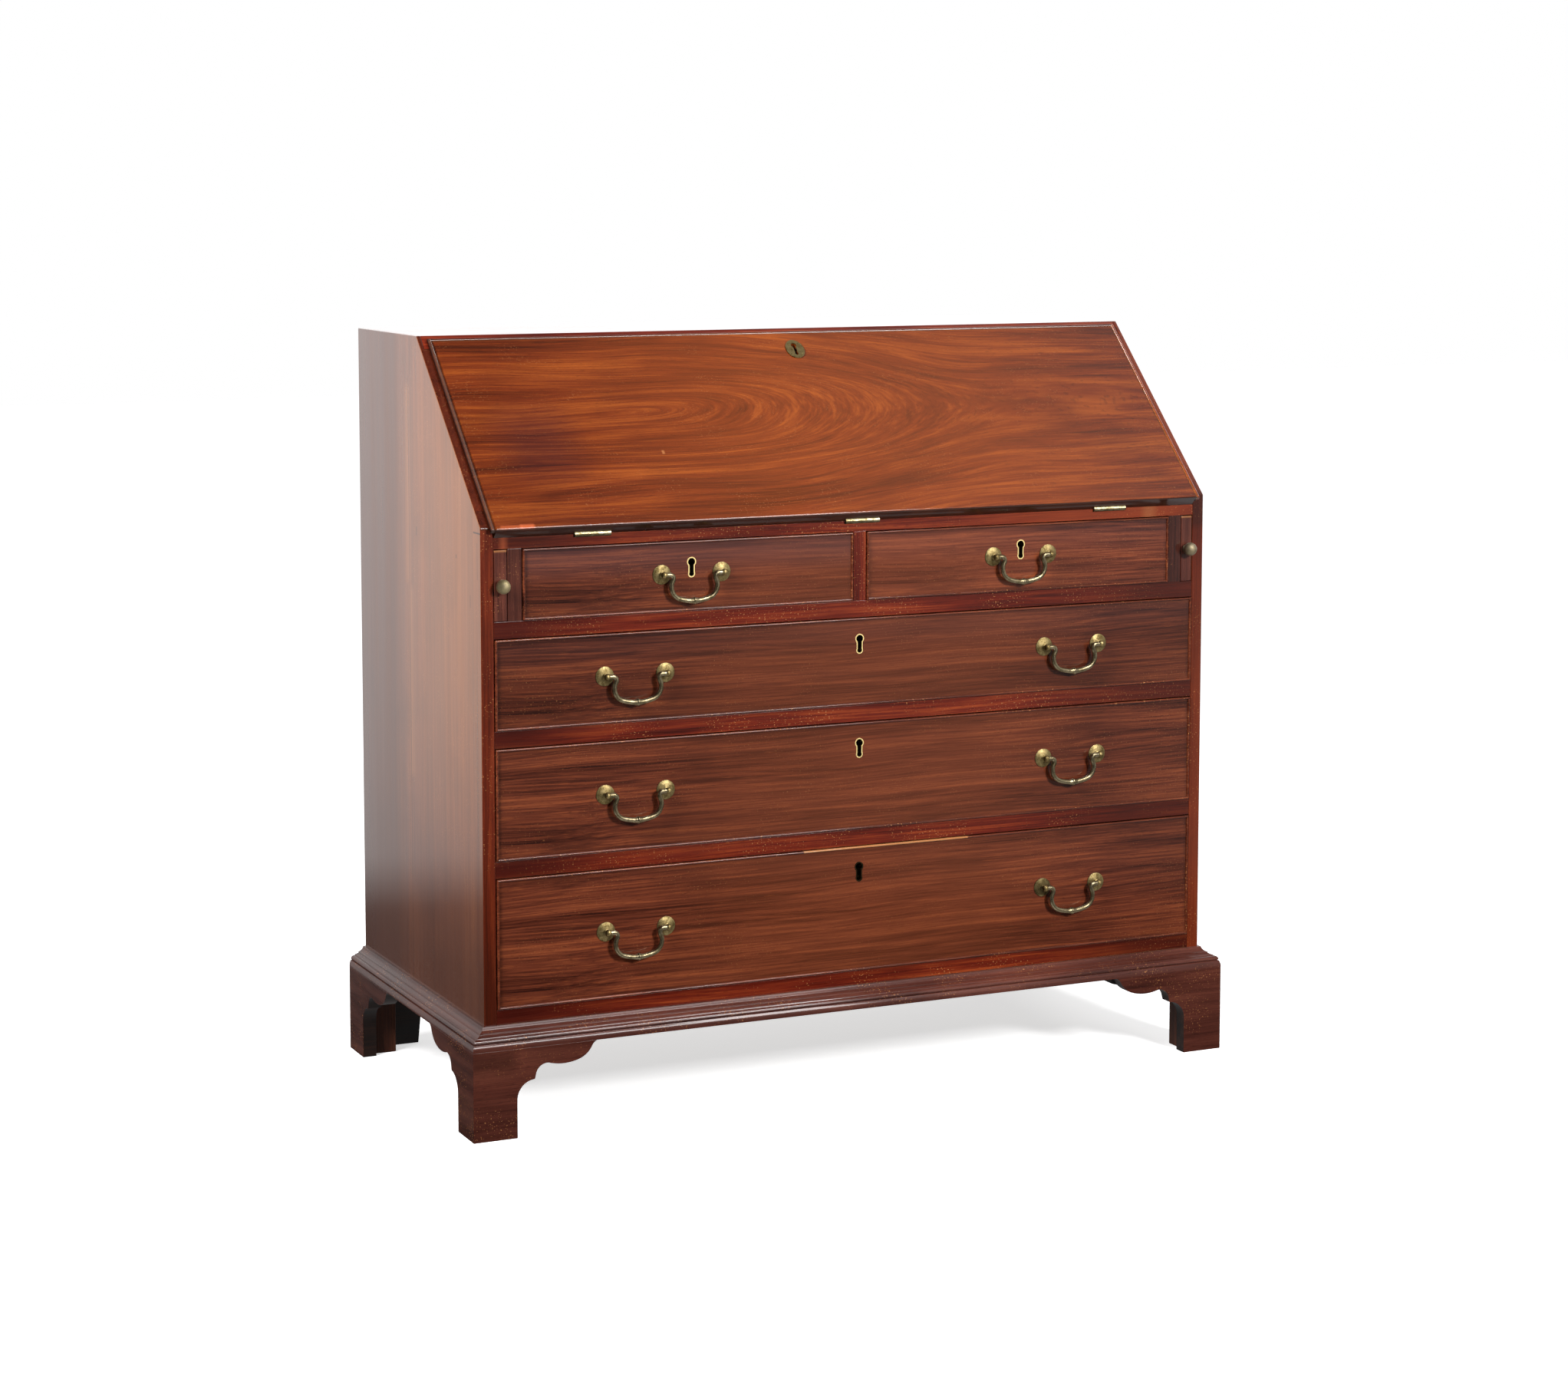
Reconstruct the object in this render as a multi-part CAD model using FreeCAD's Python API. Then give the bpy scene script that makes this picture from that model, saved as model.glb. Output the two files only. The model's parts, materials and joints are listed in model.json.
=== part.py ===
import FreeCAD, Part
import math
import os
from collections import namedtuple

# A slope-front bureau: a chest of two short and three long drawers on bracket feet, with a
# sloping fall that drops on to two pull-out lopers to make a writing surface.
# Millimetres. X runs across the front, Y from front to back, Z up from the floor.
# The origin is on the floor, under the middle of the overall box.

V = FreeCAD.Vector
ALONG_X = V(1, 0, 0)
ALONG_Z = V(0, 0, 1)
OUTWARD = V(0, -1, 0)
tolerance = 1e-6

# Carcase
carcase_width = 1110.0
carcase_depth = 512.0
carcase_height = 1057.0
top_depth = 260.0
side_thickness = 18.0
top_thickness = 18.0
top_lap = 6.0
back_thickness = 12.0
back_rebate = 9.0
back_board_count = 6
back_board_gap = 1.0
housing_depth = 6.0
housing_setback = 12.0

# Front, from the floor up
foot_height = 121.5
moulding_height = 28.5
bottom_rail_height = 20.0
deep_bay_height = 177.4
middle_bay_height = 151.6
shallow_bay_height = 123.0
short_bay_height = 96.5
rail_height = 23.0
rail_depth = 60.0
dustboard_thickness = 10.0
bed_thickness = 15.0
slope_foot_rise = 13.5
divider_thickness = 19.0
divider_guide_height = 18.0
partition_thickness = 20.0
base_rail_thickness = 22.0

# Base moulding and bracket feet
base_projection = 25.0
moulding_bead = (3.5, 0.0)
moulding_bead_foot = (4.0, 1.6)
moulding_hollow_middle = (6.5, 5.2)
moulding_hollow_end = (11.0, 7.6)
moulding_step_head = (11.0, 9.2)
moulding_step_foot = (16.6, 11.4)
moulding_nosing_head = (7.9, 12.6)
moulding_nosing_shoulder = (4.2, 13.5)
moulding_nosing_crown = (2.6, 16.2)
moulding_nosing_under = (2.9, 17.6)
moulding_nosing_foot = (4.0, 18.5)
moulding_fillet_head = (2.0, 19.1)
moulding_fascia_middle = (0.6, 22.8)
bracket_thickness = 20.0
bracket_length = 177.0
bracket_leg_drop = 69.5
bracket_hollow_width = 25.0
bracket_hollow_middle = (7.6, 51.1)
bracket_cusp_drop = 43.5
bracket_cusp_step = (1.5, 37.5)
bracket_rise_middle = (7.5, 27.0)
bracket_wave_start = (20.0, 23.5)
bracket_wave_middle = (42.0, 26.7)
bracket_wave_end = (26.0, 23.0)
bracket_turn_middle = (14.5, 16.0)
bracket_tip_start = (8.0, 7.5)
bracket_tip_middle = (4.8, 3.0)
bracket_backing = 30.0
backing_tip_gap = 4.0
backing_end_drop = 12.0
backing_slope = (30.0, 21.0)
leg_width = 62.0
foot_block = 34.0
back_bracket_thickness = 16.0
back_bracket_floor_width = 100.0
back_bracket_top_width = 112.0

# Fall and its hinges
fall_thickness = 16.0
fall_side_gap = 1.0
fall_top_gap = 1.0
lip_overlap = 6.0
lip_reveal = 10.7
lip_clearance = 0.3
lip_bead = 5.0
lip_bead_drop = 0.3
lip_quirk_width = 2.8
lip_quirk_depth = 1.9
lip_bottom_round = 2.5
hinge_forward = 0.6
hinge_edge_gap = 0.6
hinge_spacing = 397.0
hinge_length = 52.0
hinge_leaf_width = 24.0
hinge_leaf_thickness = 1.6
hinge_barrel_radius = 3.5
hinge_pin_radius = 1.5
hinge_running_gap = 0.05
hinge_segments = 5
hinge_segment_gap = 0.3
barrel_clearance = 0.5
middle_hinge_shift = 3.0
fall_lock_shift = 0.5

# Lopers
loper_thickness = 18.2
loper_slot_width = 19.7
loper_back_clearance = 40.0
loper_round = 1.5
loper_knob_radius = 9.7
loper_knob_reach = 20.5
loper_knob_shank_radius = 2.5
loper_knob_shank_length = 22.0
loper_knob_neck_radius = 4.365
loper_knob_collar_radius = 6.014
loper_knob_collar_height = 0.66

# Drawers
drawer_side_gap = 1.2
drawer_top_gap = 1.2
drawer_running_gap = 0.3
drawer_back_clearance = 30.0
drawer_front_thickness = 20.0
drawer_side_thickness = 9.0
drawer_back_thickness = 8.0
drawer_bottom_thickness = 7.0
drawer_bottom_rise = 6.0
drawer_groove_depth = 4.0
drawer_side_drop = 4.0
drawer_back_drop = 9.0
tail_length = 12.0
tail_width = 22.0
tail_flare = 2.5
tail_spacing = 40.0
bead_width = 3.0
bead_proud = 2.5
bead_depth = 6.0

# Drawer and fall brasses
handle_spacing = 673.0
handle_rise = 3.0
post_spacing = 88.0
rosette_radius = 13.25
rosette_rim_height = 1.0
rosette_dome_height = 3.7
rosette_dome_middle = (0.70, 2.7)
rosette_dome_radius = 4.565
post_shank_radius = 2.5
post_reach = 10.0
post_head_radius = 4.8
post_collar_share = 0.9
post_collar_height = 4.8
post_neck_share = 0.62
post_neck_height = 5.6
post_nut_radius = 7.0
post_nut_thickness = 4.0
bored_clearance = 0.1
bail_drop = 36.5
bail_radius = 3.4
bail_pin_share = 0.7
bail_pin_inset = 8.2
bail_neck_radius = 4.8
bail_throat_radius = 8.0
bail_throat_degrees = 27.0
bail_grip_radius = 72.0
bail_running_gap = 0.05
bail_knop_radius = 5.1
bail_knop_half_length = 1.7
bail_spindle_radius = 4.3
bail_spindle_half_length = 11.0
bail_spindle_root_share = 0.78
keyhole_drop = 36.0
escutcheon_depth = 2.2
escutcheon_proud = 0.3
escutcheon_thread = 1.6
escutcheon_head_radius = 6.75
escutcheon_foot_radius = 5.2
escutcheon_waist = 9.4
escutcheon_height = 28.0
lock_width = 60.0
lock_height = 46.0
lock_thickness = 9.0
lock_top_margin = 6.0
oval_width = 28.5
oval_height = 35.0
oval_thickness = 1.2
oval_pin_radius = 1.1
oval_pin_share = 0.38
fall_keyhole_drop = 48.5
fall_keyhole_inset = 2.6

# Interior behind the fall
interior_recess = 20.0
interior_board = 6.0
pigeonhole_count = 8
small_drawer_count = 4
small_drawer_bay_height = 62.0
small_drawer_gap = 0.7
small_drawer_running_gap = 0.3
small_drawer_back_gap = 13.0
small_front_thickness = 10.0
small_wall = 5.0
small_bottom_thickness = 4.0
small_bottom_rise = 1.5
small_bottom_setback = 1.0
small_knob_radius = 7.0
small_knob_reach = 14.0
small_knob_neck_radius = 3.2
small_wall_drop = 5.0
small_back_drop = 7.0

# Places worked out from the sizes above
half_width = carcase_width / 2
inner_half = half_width - side_thickness
overall_depth = carcase_depth + base_projection
front = base_projection - overall_depth / 2
back = front + carcase_depth
back_inner = back - back_thickness
top_under = carcase_height - top_thickness
drawer_depth = carcase_depth - back_thickness - drawer_back_clearance
loper_length = carcase_depth - back_thickness - loper_back_clearance

base_top = foot_height + moulding_height
deep_bay_floor = base_top + bottom_rail_height
lower_rail_floor = deep_bay_floor + deep_bay_height
middle_bay_floor = lower_rail_floor + rail_height
middle_rail_floor = middle_bay_floor + middle_bay_height
shallow_bay_floor = middle_rail_floor + rail_height
upper_rail_floor = shallow_bay_floor + shallow_bay_height
short_bay_floor = upper_rail_floor + rail_height
bed_floor = short_bay_floor + short_bay_height
bed_top = bed_floor + bed_thickness
slope_foot = bed_top + slope_foot_rise

slope_run = carcase_depth - top_depth
slope_rise = carcase_height - slope_foot
slope_length = math.hypot(slope_run, slope_rise)
slope_angle = math.atan2(slope_rise, slope_run)

partition_outer = inner_half - loper_slot_width
partition_inner = partition_outer - partition_thickness
shelf_floor = bed_top + small_drawer_bay_height
interior_front = back - top_depth + interior_recess
small_drawer_depth = back_inner - interior_front - small_drawer_back_gap

# The hinge axis in the fall's own directions: up the slope, and out from it
axis_y = front - hinge_forward
axis_z = bed_top
axis_up = (axis_y - front) * math.cos(slope_angle) + (axis_z - slope_foot) * math.sin(slope_angle)
axis_out = (axis_z - slope_foot) * math.cos(slope_angle) - (axis_y - front) * math.sin(slope_angle)

fall_inner = axis_out
fall_outer = axis_out + fall_thickness
fall_bottom = axis_up + hinge_edge_gap
fall_lip_top = slope_length - lip_reveal
fall_body_top = (top_under - slope_foot) / math.sin(slope_angle) - fall_top_gap
fall_keyhole_up = slope_length - fall_keyhole_drop

Bay = namedtuple("Bay", "name x0 x1 z0 z1 handle_xs")

long_handles = (-handle_spacing / 2, handle_spacing / 2)
short_middle = (divider_thickness / 2 + partition_inner) / 2
bays = [
    Bay("short_drawer_left", -partition_inner, -divider_thickness / 2,
        short_bay_floor, bed_floor, (-short_middle,)),
    Bay("short_drawer_right", divider_thickness / 2, partition_inner,
        short_bay_floor, bed_floor, (short_middle,)),
    Bay("long_drawer_shallow", -inner_half, inner_half,
        shallow_bay_floor, upper_rail_floor, long_handles),
    Bay("long_drawer_middle", -inner_half, inner_half,
        middle_bay_floor, middle_rail_floor, long_handles),
    Bay("long_drawer_deep", -inner_half, inner_half,
        deep_bay_floor, lower_rail_floor, long_handles),
]

nodes = {}


def box(x0, x1, y0, y1, z0, z1):
    """A block between two corners."""
    return Part.makeBox(x1 - x0, y1 - y0, z1 - z0, V(x0, y0, z0))


def cylinder(radius, start, end):
    """A round bar from one point to another."""
    run = end - start
    return Part.makeCylinder(radius, run.Length, start, run)


def outline(to_space, start, steps):
    """A flat face: a step of two numbers is a line, of four an arc by its middle and end."""
    edges = []
    here = to_space(*start)
    for step in steps + [start]:
        there = to_space(*step[-2:])
        if len(step) == 4:
            edges.append(Part.Arc(here, to_space(*step[:2]), there).toShape())
        elif (there - here).Length > tolerance:
            edges.append(Part.LineSegment(here, there).toShape())
        here = there
    return Part.Face(Part.Wire(edges))


def prism_x(x0, x1, start, steps):
    """An outline in (y, z), carried from x0 to x1."""
    return outline(lambda y, z: V(x0, y, z), start, steps).extrude(V(x1 - x0, 0, 0))


def prism_y(y0, y1, start, steps):
    """An outline in (x, z), carried from y0 to y1."""
    return outline(lambda x, z: V(x, y0, z), start, steps).extrude(V(0, y1 - y0, 0))


def prism_z(z0, z1, start, steps):
    """An outline in (x, y), carried from z0 to z1."""
    return outline(lambda x, y: V(x, y, z0), start, steps).extrude(V(0, 0, z1 - z0))


def turned(start, steps, foot, reach_axis):
    """A turning from a half outline of (radius, reach), set at foot and pointing along reach_axis."""
    face = outline(lambda radius, reach: V(radius, 0, reach), start, steps)
    piece = face.revolve(V(0, 0, 0), ALONG_Z, 360)
    turn = FreeCAD.Rotation(ALONG_Z, reach_axis)
    return Part.Solid(piece.transformed(FreeCAD.Placement(foot, turn).toMatrix(), True))


def mirrored(shape):
    """The same shape on the other side of the middle."""
    return shape.mirror(V(0, 0, 0), ALONG_X)


def both_sides(shape):
    """A shape and its mirror image."""
    return [shape, mirrored(shape)]


def on_slope(shape):
    """Carry a shape from (x, up the slope, out of the slope) to its place on the bureau."""
    turned_shape = shape.rotated(V(0, 0, 0), ALONG_X, math.degrees(slope_angle))
    return turned_shape.translated(V(0, front, slope_foot))


def add_node(name, shapes):
    """Keep one named piece, or a group of separate solids under one name."""
    solids = []
    for shape in shapes:
        solids.extend(shape.Solids)
    nodes[name] = solids


# Boards housed in the sides: (front, back, underside, upper face)
def level_boards():
    """The rails and dustboards between the drawers, from the floor up."""
    rail_back = front + rail_depth
    rails = []
    dusts = []
    floors = [lower_rail_floor, middle_rail_floor, upper_rail_floor]
    rails.append((front, rail_back, base_top, deep_bay_floor))
    for floor in floors:
        top = floor + rail_height
        rails.append((front, rail_back, floor, top))
        dusts.append((rail_back, back_inner, top - dustboard_thickness, top))
    bottom = (rail_back, back_inner, deep_bay_floor - dustboard_thickness, deep_bay_floor)
    bed = (front, back_inner, bed_floor, bed_top)
    return rails, dusts, bottom, bed


def tongue_start(y0):
    """A board that shows at the front is housed only from behind its face."""
    return y0 + housing_setback if y0 == front else y0


def housed_board(board):
    """A board between the sides with a tongue in each side's housing."""
    y0, y1, z0, z1 = board
    reach = inner_half + housing_depth
    body = box(-inner_half, inner_half, y0, y1, z0, z1)
    return body.fuse(box(-reach, reach, tongue_start(y0), y1, z0, z1)).removeSplitter()


def housing(board):
    """The matching groove in the right-hand side."""
    y0, y1, z0, z1 = board
    return box(inner_half, inner_half + housing_depth, tongue_start(y0), y1, z0, z1)


def slope_y(z):
    """Where the slope's plane stands at a height."""
    return front + (z - slope_foot) / math.tan(slope_angle)


def make_carcase():
    """Sides, top, back, and the boards between the sides."""
    rails, dusts, bottom, bed = level_boards()
    side = prism_x(inner_half, half_width, (front, foot_height), [
        (back, foot_height), (back, carcase_height),
        (front + slope_run, carcase_height), (front, slope_foot)])
    cuts = [housing(board) for board in rails + dusts + [bottom, bed]]
    cuts.append(box(inner_half, inner_half + back_rebate, back_inner, back, foot_height, carcase_height))
    cuts.append(box(inner_half, half_width - top_lap, front, back, top_under, carcase_height))
    side = side.cut(cuts)
    add_node("side_right", [side])
    add_node("side_left", [mirrored(side)])

    top_half = half_width - top_lap
    top = prism_x(-top_half, top_half, (slope_y(top_under), top_under), [
        (back, top_under), (back, carcase_height), (slope_y(carcase_height), carcase_height)])
    add_node("top_board", [top])

    back_half = inner_half + back_rebate
    pitch = 2 * back_half / back_board_count
    boards = []
    for i in range(back_board_count):
        x0 = -back_half + i * pitch
        x1 = x0 + pitch
        if i < back_board_count - 1:
            x1 -= back_board_gap
        boards.append(box(x0, x1, back_inner, back, foot_height, top_under))
    add_node("back_boards", boards)

    add_node("drawer_rails", [housed_board(board) for board in rails])
    add_node("dustboards", [housed_board(board) for board in dusts])
    add_node("bottom_board", [housed_board(bottom)])

    base_rail_front = box(-inner_half, inner_half, front, front + base_rail_thickness, foot_height, base_top)
    base_rail_back = box(-inner_half, inner_half, back_inner - base_rail_thickness, back_inner,
                         foot_height, base_top)
    add_node("base_rails", [base_rail_front, base_rail_back])

    half_divider = divider_thickness / 2
    muntin = box(-half_divider, half_divider, front, front + rail_depth, short_bay_floor, bed_floor)
    guide = box(-half_divider, half_divider, front + rail_depth, back_inner,
                short_bay_floor, short_bay_floor + divider_guide_height)
    add_node("centre_divider", [muntin.fuse(guide).removeSplitter()])

    partition = box(partition_inner, partition_outer, front, back_inner, short_bay_floor, bed_floor)
    add_node("loper_partitions", both_sides(partition))
    return housed_board(bed)


def moulding_outline(out):
    """The base moulding's section: a bead, a hollow, a step and a round nosing over a swelling fascia.

    out turns a distance from the carcase into a place along the section's own axis.
    """
    nose = base_projection

    def at(point):
        return out(point[0]), base_top - point[1]

    def from_nose(point):
        return out(nose - point[0]), base_top - point[1]

    points = [
        at(moulding_bead),
        at(moulding_bead_foot),
        at(moulding_hollow_middle) + at(moulding_hollow_end),
        at(moulding_step_head),
        at(moulding_step_foot),
        from_nose(moulding_nosing_head),
        from_nose(moulding_nosing_shoulder) + from_nose(moulding_nosing_crown),
        from_nose(moulding_nosing_under) + from_nose(moulding_nosing_foot),
        from_nose(moulding_fillet_head),
        from_nose(moulding_fascia_middle) + (out(nose), foot_height),
        (out(0.0), foot_height),
    ]
    return (out(0.0), base_top), points


def make_base_moulding():
    """Three mitred lengths: along the front and back along each side."""
    reach = half_width + base_projection
    start, steps = moulding_outline(lambda distance: front - distance)
    front_length = prism_x(-reach, reach, start, steps)
    mitre = [(half_width, front), (reach, front - base_projection)]
    keep = prism_z(foot_height, base_top, (-reach, front - base_projection), [
        mitre[1], mitre[0], (-half_width, front)])
    front_length = front_length.common(keep)
    start, steps = moulding_outline(lambda distance: half_width + distance)
    side_length = prism_y(front - base_projection, back, start, steps)
    keep = prism_z(foot_height, base_top, mitre[0], [mitre[1], (reach, back), (half_width, back)])
    side_length = side_length.common(keep)
    add_node("base_moulding", [front_length] + both_sides(side_length))


def bracket_outline(place):
    """A bracket foot's face: a straight leg, two hollows and a wave up to the moulding.

    place turns a distance from the foot's corner into a place along the face.
    """
    def at(distance, drop):
        return place(distance), foot_height - drop

    def from_leg(point):
        return at(leg_width + point[0], point[1])

    def from_cusp(point):
        return at(leg_width + bracket_hollow_width + point[0], point[1])

    def from_tip(point):
        return at(bracket_length - point[0], point[1])

    return at(0.0, foot_height), [
        at(leg_width, foot_height),
        at(leg_width, bracket_leg_drop),
        from_leg(bracket_hollow_middle) + from_cusp((0.0, bracket_cusp_drop)),
        from_cusp(bracket_cusp_step),
        from_cusp(bracket_rise_middle) + from_cusp(bracket_wave_start),
        from_cusp(bracket_wave_middle) + from_tip(bracket_wave_end),
        from_tip(bracket_turn_middle) + from_tip(bracket_tip_start),
        from_tip(bracket_tip_middle) + at(bracket_length, 0.0),
        at(0.0, 0.0),
    ]


def make_feet():
    """Two mitred brackets and a glue block at each corner; plain brackets across the back.

    A backing strip stiffens each front bracket behind its wave.
    """
    reach = half_width + base_projection
    face = front - base_projection
    inside = bracket_thickness
    front_bracket = prism_y(face, face + inside, *bracket_outline(lambda distance: reach - distance))
    side_bracket = prism_x(reach - inside, reach, *bracket_outline(lambda distance: face + distance))
    corner = prism_z(0, foot_height, (reach, face), [(reach - inside, face + inside), (reach - inside, face)])
    front_bracket = front_bracket.cut(prism_z(0, foot_height, (reach, face), [
        (reach, face + inside), (reach - inside, face + inside)]))
    side_bracket = side_bracket.cut(corner)
    block = box(reach - inside - foot_block, reach - inside, face + inside, face + inside + foot_block,
                0, foot_height)
    tip = reach - bracket_length + backing_tip_gap
    backing = prism_y(face + inside, face + inside + bracket_backing, (tip, foot_height), [
        (reach - inside - foot_block, foot_height),
        (reach - inside - foot_block, foot_height - backing_slope[1]),
        (tip + backing_slope[0], foot_height - backing_slope[1]),
        (tip, foot_height - backing_end_drop)])
    front_foot = [front_bracket, side_bracket, block, backing]
    add_node("foot_front_right", front_foot)
    add_node("foot_front_left", [mirrored(piece) for piece in front_foot])

    back_face = back - back_bracket_thickness
    rear_bracket = prism_x(reach - inside, reach, *bracket_outline(lambda distance: back - distance))
    plain_bracket = prism_y(back_face, back, (reach - inside, 0), [
        (reach - back_bracket_floor_width, 0),
        (reach - back_bracket_top_width, foot_height),
        (reach - inside, foot_height)])
    rear_block = box(reach - inside - foot_block, reach - inside, back_face - foot_block, back_face,
                     0, foot_height)
    back_foot = [rear_bracket, plain_bracket, rear_block]
    add_node("foot_back_right", back_foot)
    add_node("foot_back_left", [mirrored(piece) for piece in back_foot])


def hinge_middles():
    """The three hinges' middles along the front."""
    return [-hinge_spacing, middle_hinge_shift, hinge_spacing]


def hinge_bar(radius, x0, x1):
    """A round bar on the hinge axis."""
    return cylinder(radius, V(x0, axis_y, axis_z), V(x1, axis_y, axis_z))


def knuckles(middle, parity, radius, end_gap):
    """Every second barrel segment of a hinge, the first of them by parity."""
    pitch = hinge_length / hinge_segments
    start = middle - hinge_length / 2
    segments = []
    for i in range(parity, hinge_segments, 2):
        x0 = start + i * pitch
        segments.append(hinge_bar(radius, x0 + end_gap, x0 + pitch - end_gap))
    return segments


def barrel_notches():
    """Room for the hinge barrels in the boards that they join."""
    reach = hinge_length / 2 + barrel_clearance
    radius = hinge_barrel_radius + barrel_clearance
    return [hinge_bar(radius, middle - reach, middle + reach) for middle in hinge_middles()]


def hinge_leaf(middle, parity, plate):
    """A plate with its own barrel segments, cleared where the other leaf's segments turn."""
    half_gap = hinge_segment_gap / 2
    clear = knuckles(middle, 1 - parity, hinge_barrel_radius + barrel_clearance, -half_gap)
    leaf = plate.cut(clear).fuse(knuckles(middle, parity, hinge_barrel_radius, half_gap))
    reach = hinge_length / 2 + 1
    return leaf.cut(hinge_bar(hinge_pin_radius + hinge_running_gap, middle - reach, middle + reach))


def make_bed_and_hinges(bed):
    """The writing bed with its three hinge leaves and their pins."""
    pieces = []
    plates = []
    for middle in hinge_middles():
        x0 = middle - hinge_length / 2
        x1 = middle + hinge_length / 2
        plate = box(x0, x1, axis_y, front + hinge_leaf_width, bed_top - hinge_leaf_thickness, bed_top)
        plates.append(plate)
        pieces.append(hinge_leaf(middle, 0, plate))
        pieces.append(hinge_bar(hinge_pin_radius, x0, x1))
    add_node("bed_hinge_leaves", pieces)
    add_node("writing_bed", [bed.cut(plates + barrel_notches())])


def slope_box(x0, x1, up0, up1, out0, out1):
    """A block in the slope's own directions, set on the bureau."""
    return on_slope(box(x0, x1, up0, up1, out0, out1))


def bead_cutter(to_space, run):
    """What the moulding plane takes off one edge of the fall's lip, to leave a bead and its quirk.

    to_space takes a distance in from the edge and a height over the slope.
    """
    radius = lip_bead / 2
    crown = fall_outer - lip_bead_drop
    centre_height = crown - radius
    quirk_floor = fall_outer - lip_quirk_depth
    floor_drop = quirk_floor - centre_height
    bead_end = radius + math.sqrt(radius * radius - floor_drop * floor_drop)
    quirk_end = lip_bead + lip_quirk_width
    face = outline(to_space, (-1.0, centre_height), [
        (0.0, centre_height),
        (radius, crown, bead_end, quirk_floor),
        (quirk_end - lip_quirk_depth / 2, quirk_floor),
        (quirk_end, fall_outer),
        (quirk_end, fall_outer + 1.0),
        (-1.0, fall_outer + 1.0)])
    return face.extrude(run)


def round_cutter(to_space, run, radius):
    """What rounding takes off one edge of the fall's lip, with to_space as for the bead."""
    bend = math.sqrt(0.5)
    centre_height = fall_outer - radius
    face = outline(to_space, (-1.0, centre_height), [
        (0.0, centre_height),
        (radius * (1 - bend), centre_height + radius * bend, radius, fall_outer),
        (radius, fall_outer + 1.0),
        (-1.0, fall_outer + 1.0)])
    return face.extrude(run)


def keyhole_outline(head, foot, waist, height):
    """A keyhole's outline about its own middle: a round head over a round-ended slot."""
    head_z = height / 2 - head
    foot_z = foot - height / 2
    half_waist = waist / 2
    neck_z = head_z - math.sqrt(head * head - half_waist * half_waist)
    hip_z = foot_z + math.sqrt(max(foot * foot - half_waist * half_waist, 0.0))
    return (half_waist, neck_z), [
        (0.0, height / 2, -half_waist, neck_z),
        (-half_waist, hip_z),
        (0.0, -height / 2, half_waist, hip_z)]


def keyhole_prism(inset, x, z, y0, y1):
    """A keyhole outline, drawn in by inset, carried through a drawer front."""
    start, steps = keyhole_outline(
        escutcheon_head_radius - inset, escutcheon_foot_radius - inset,
        escutcheon_waist - 2 * inset, escutcheon_height - 2 * inset)
    return prism_y(y0, y1, start, steps).translated(V(x, 0, z))


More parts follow.
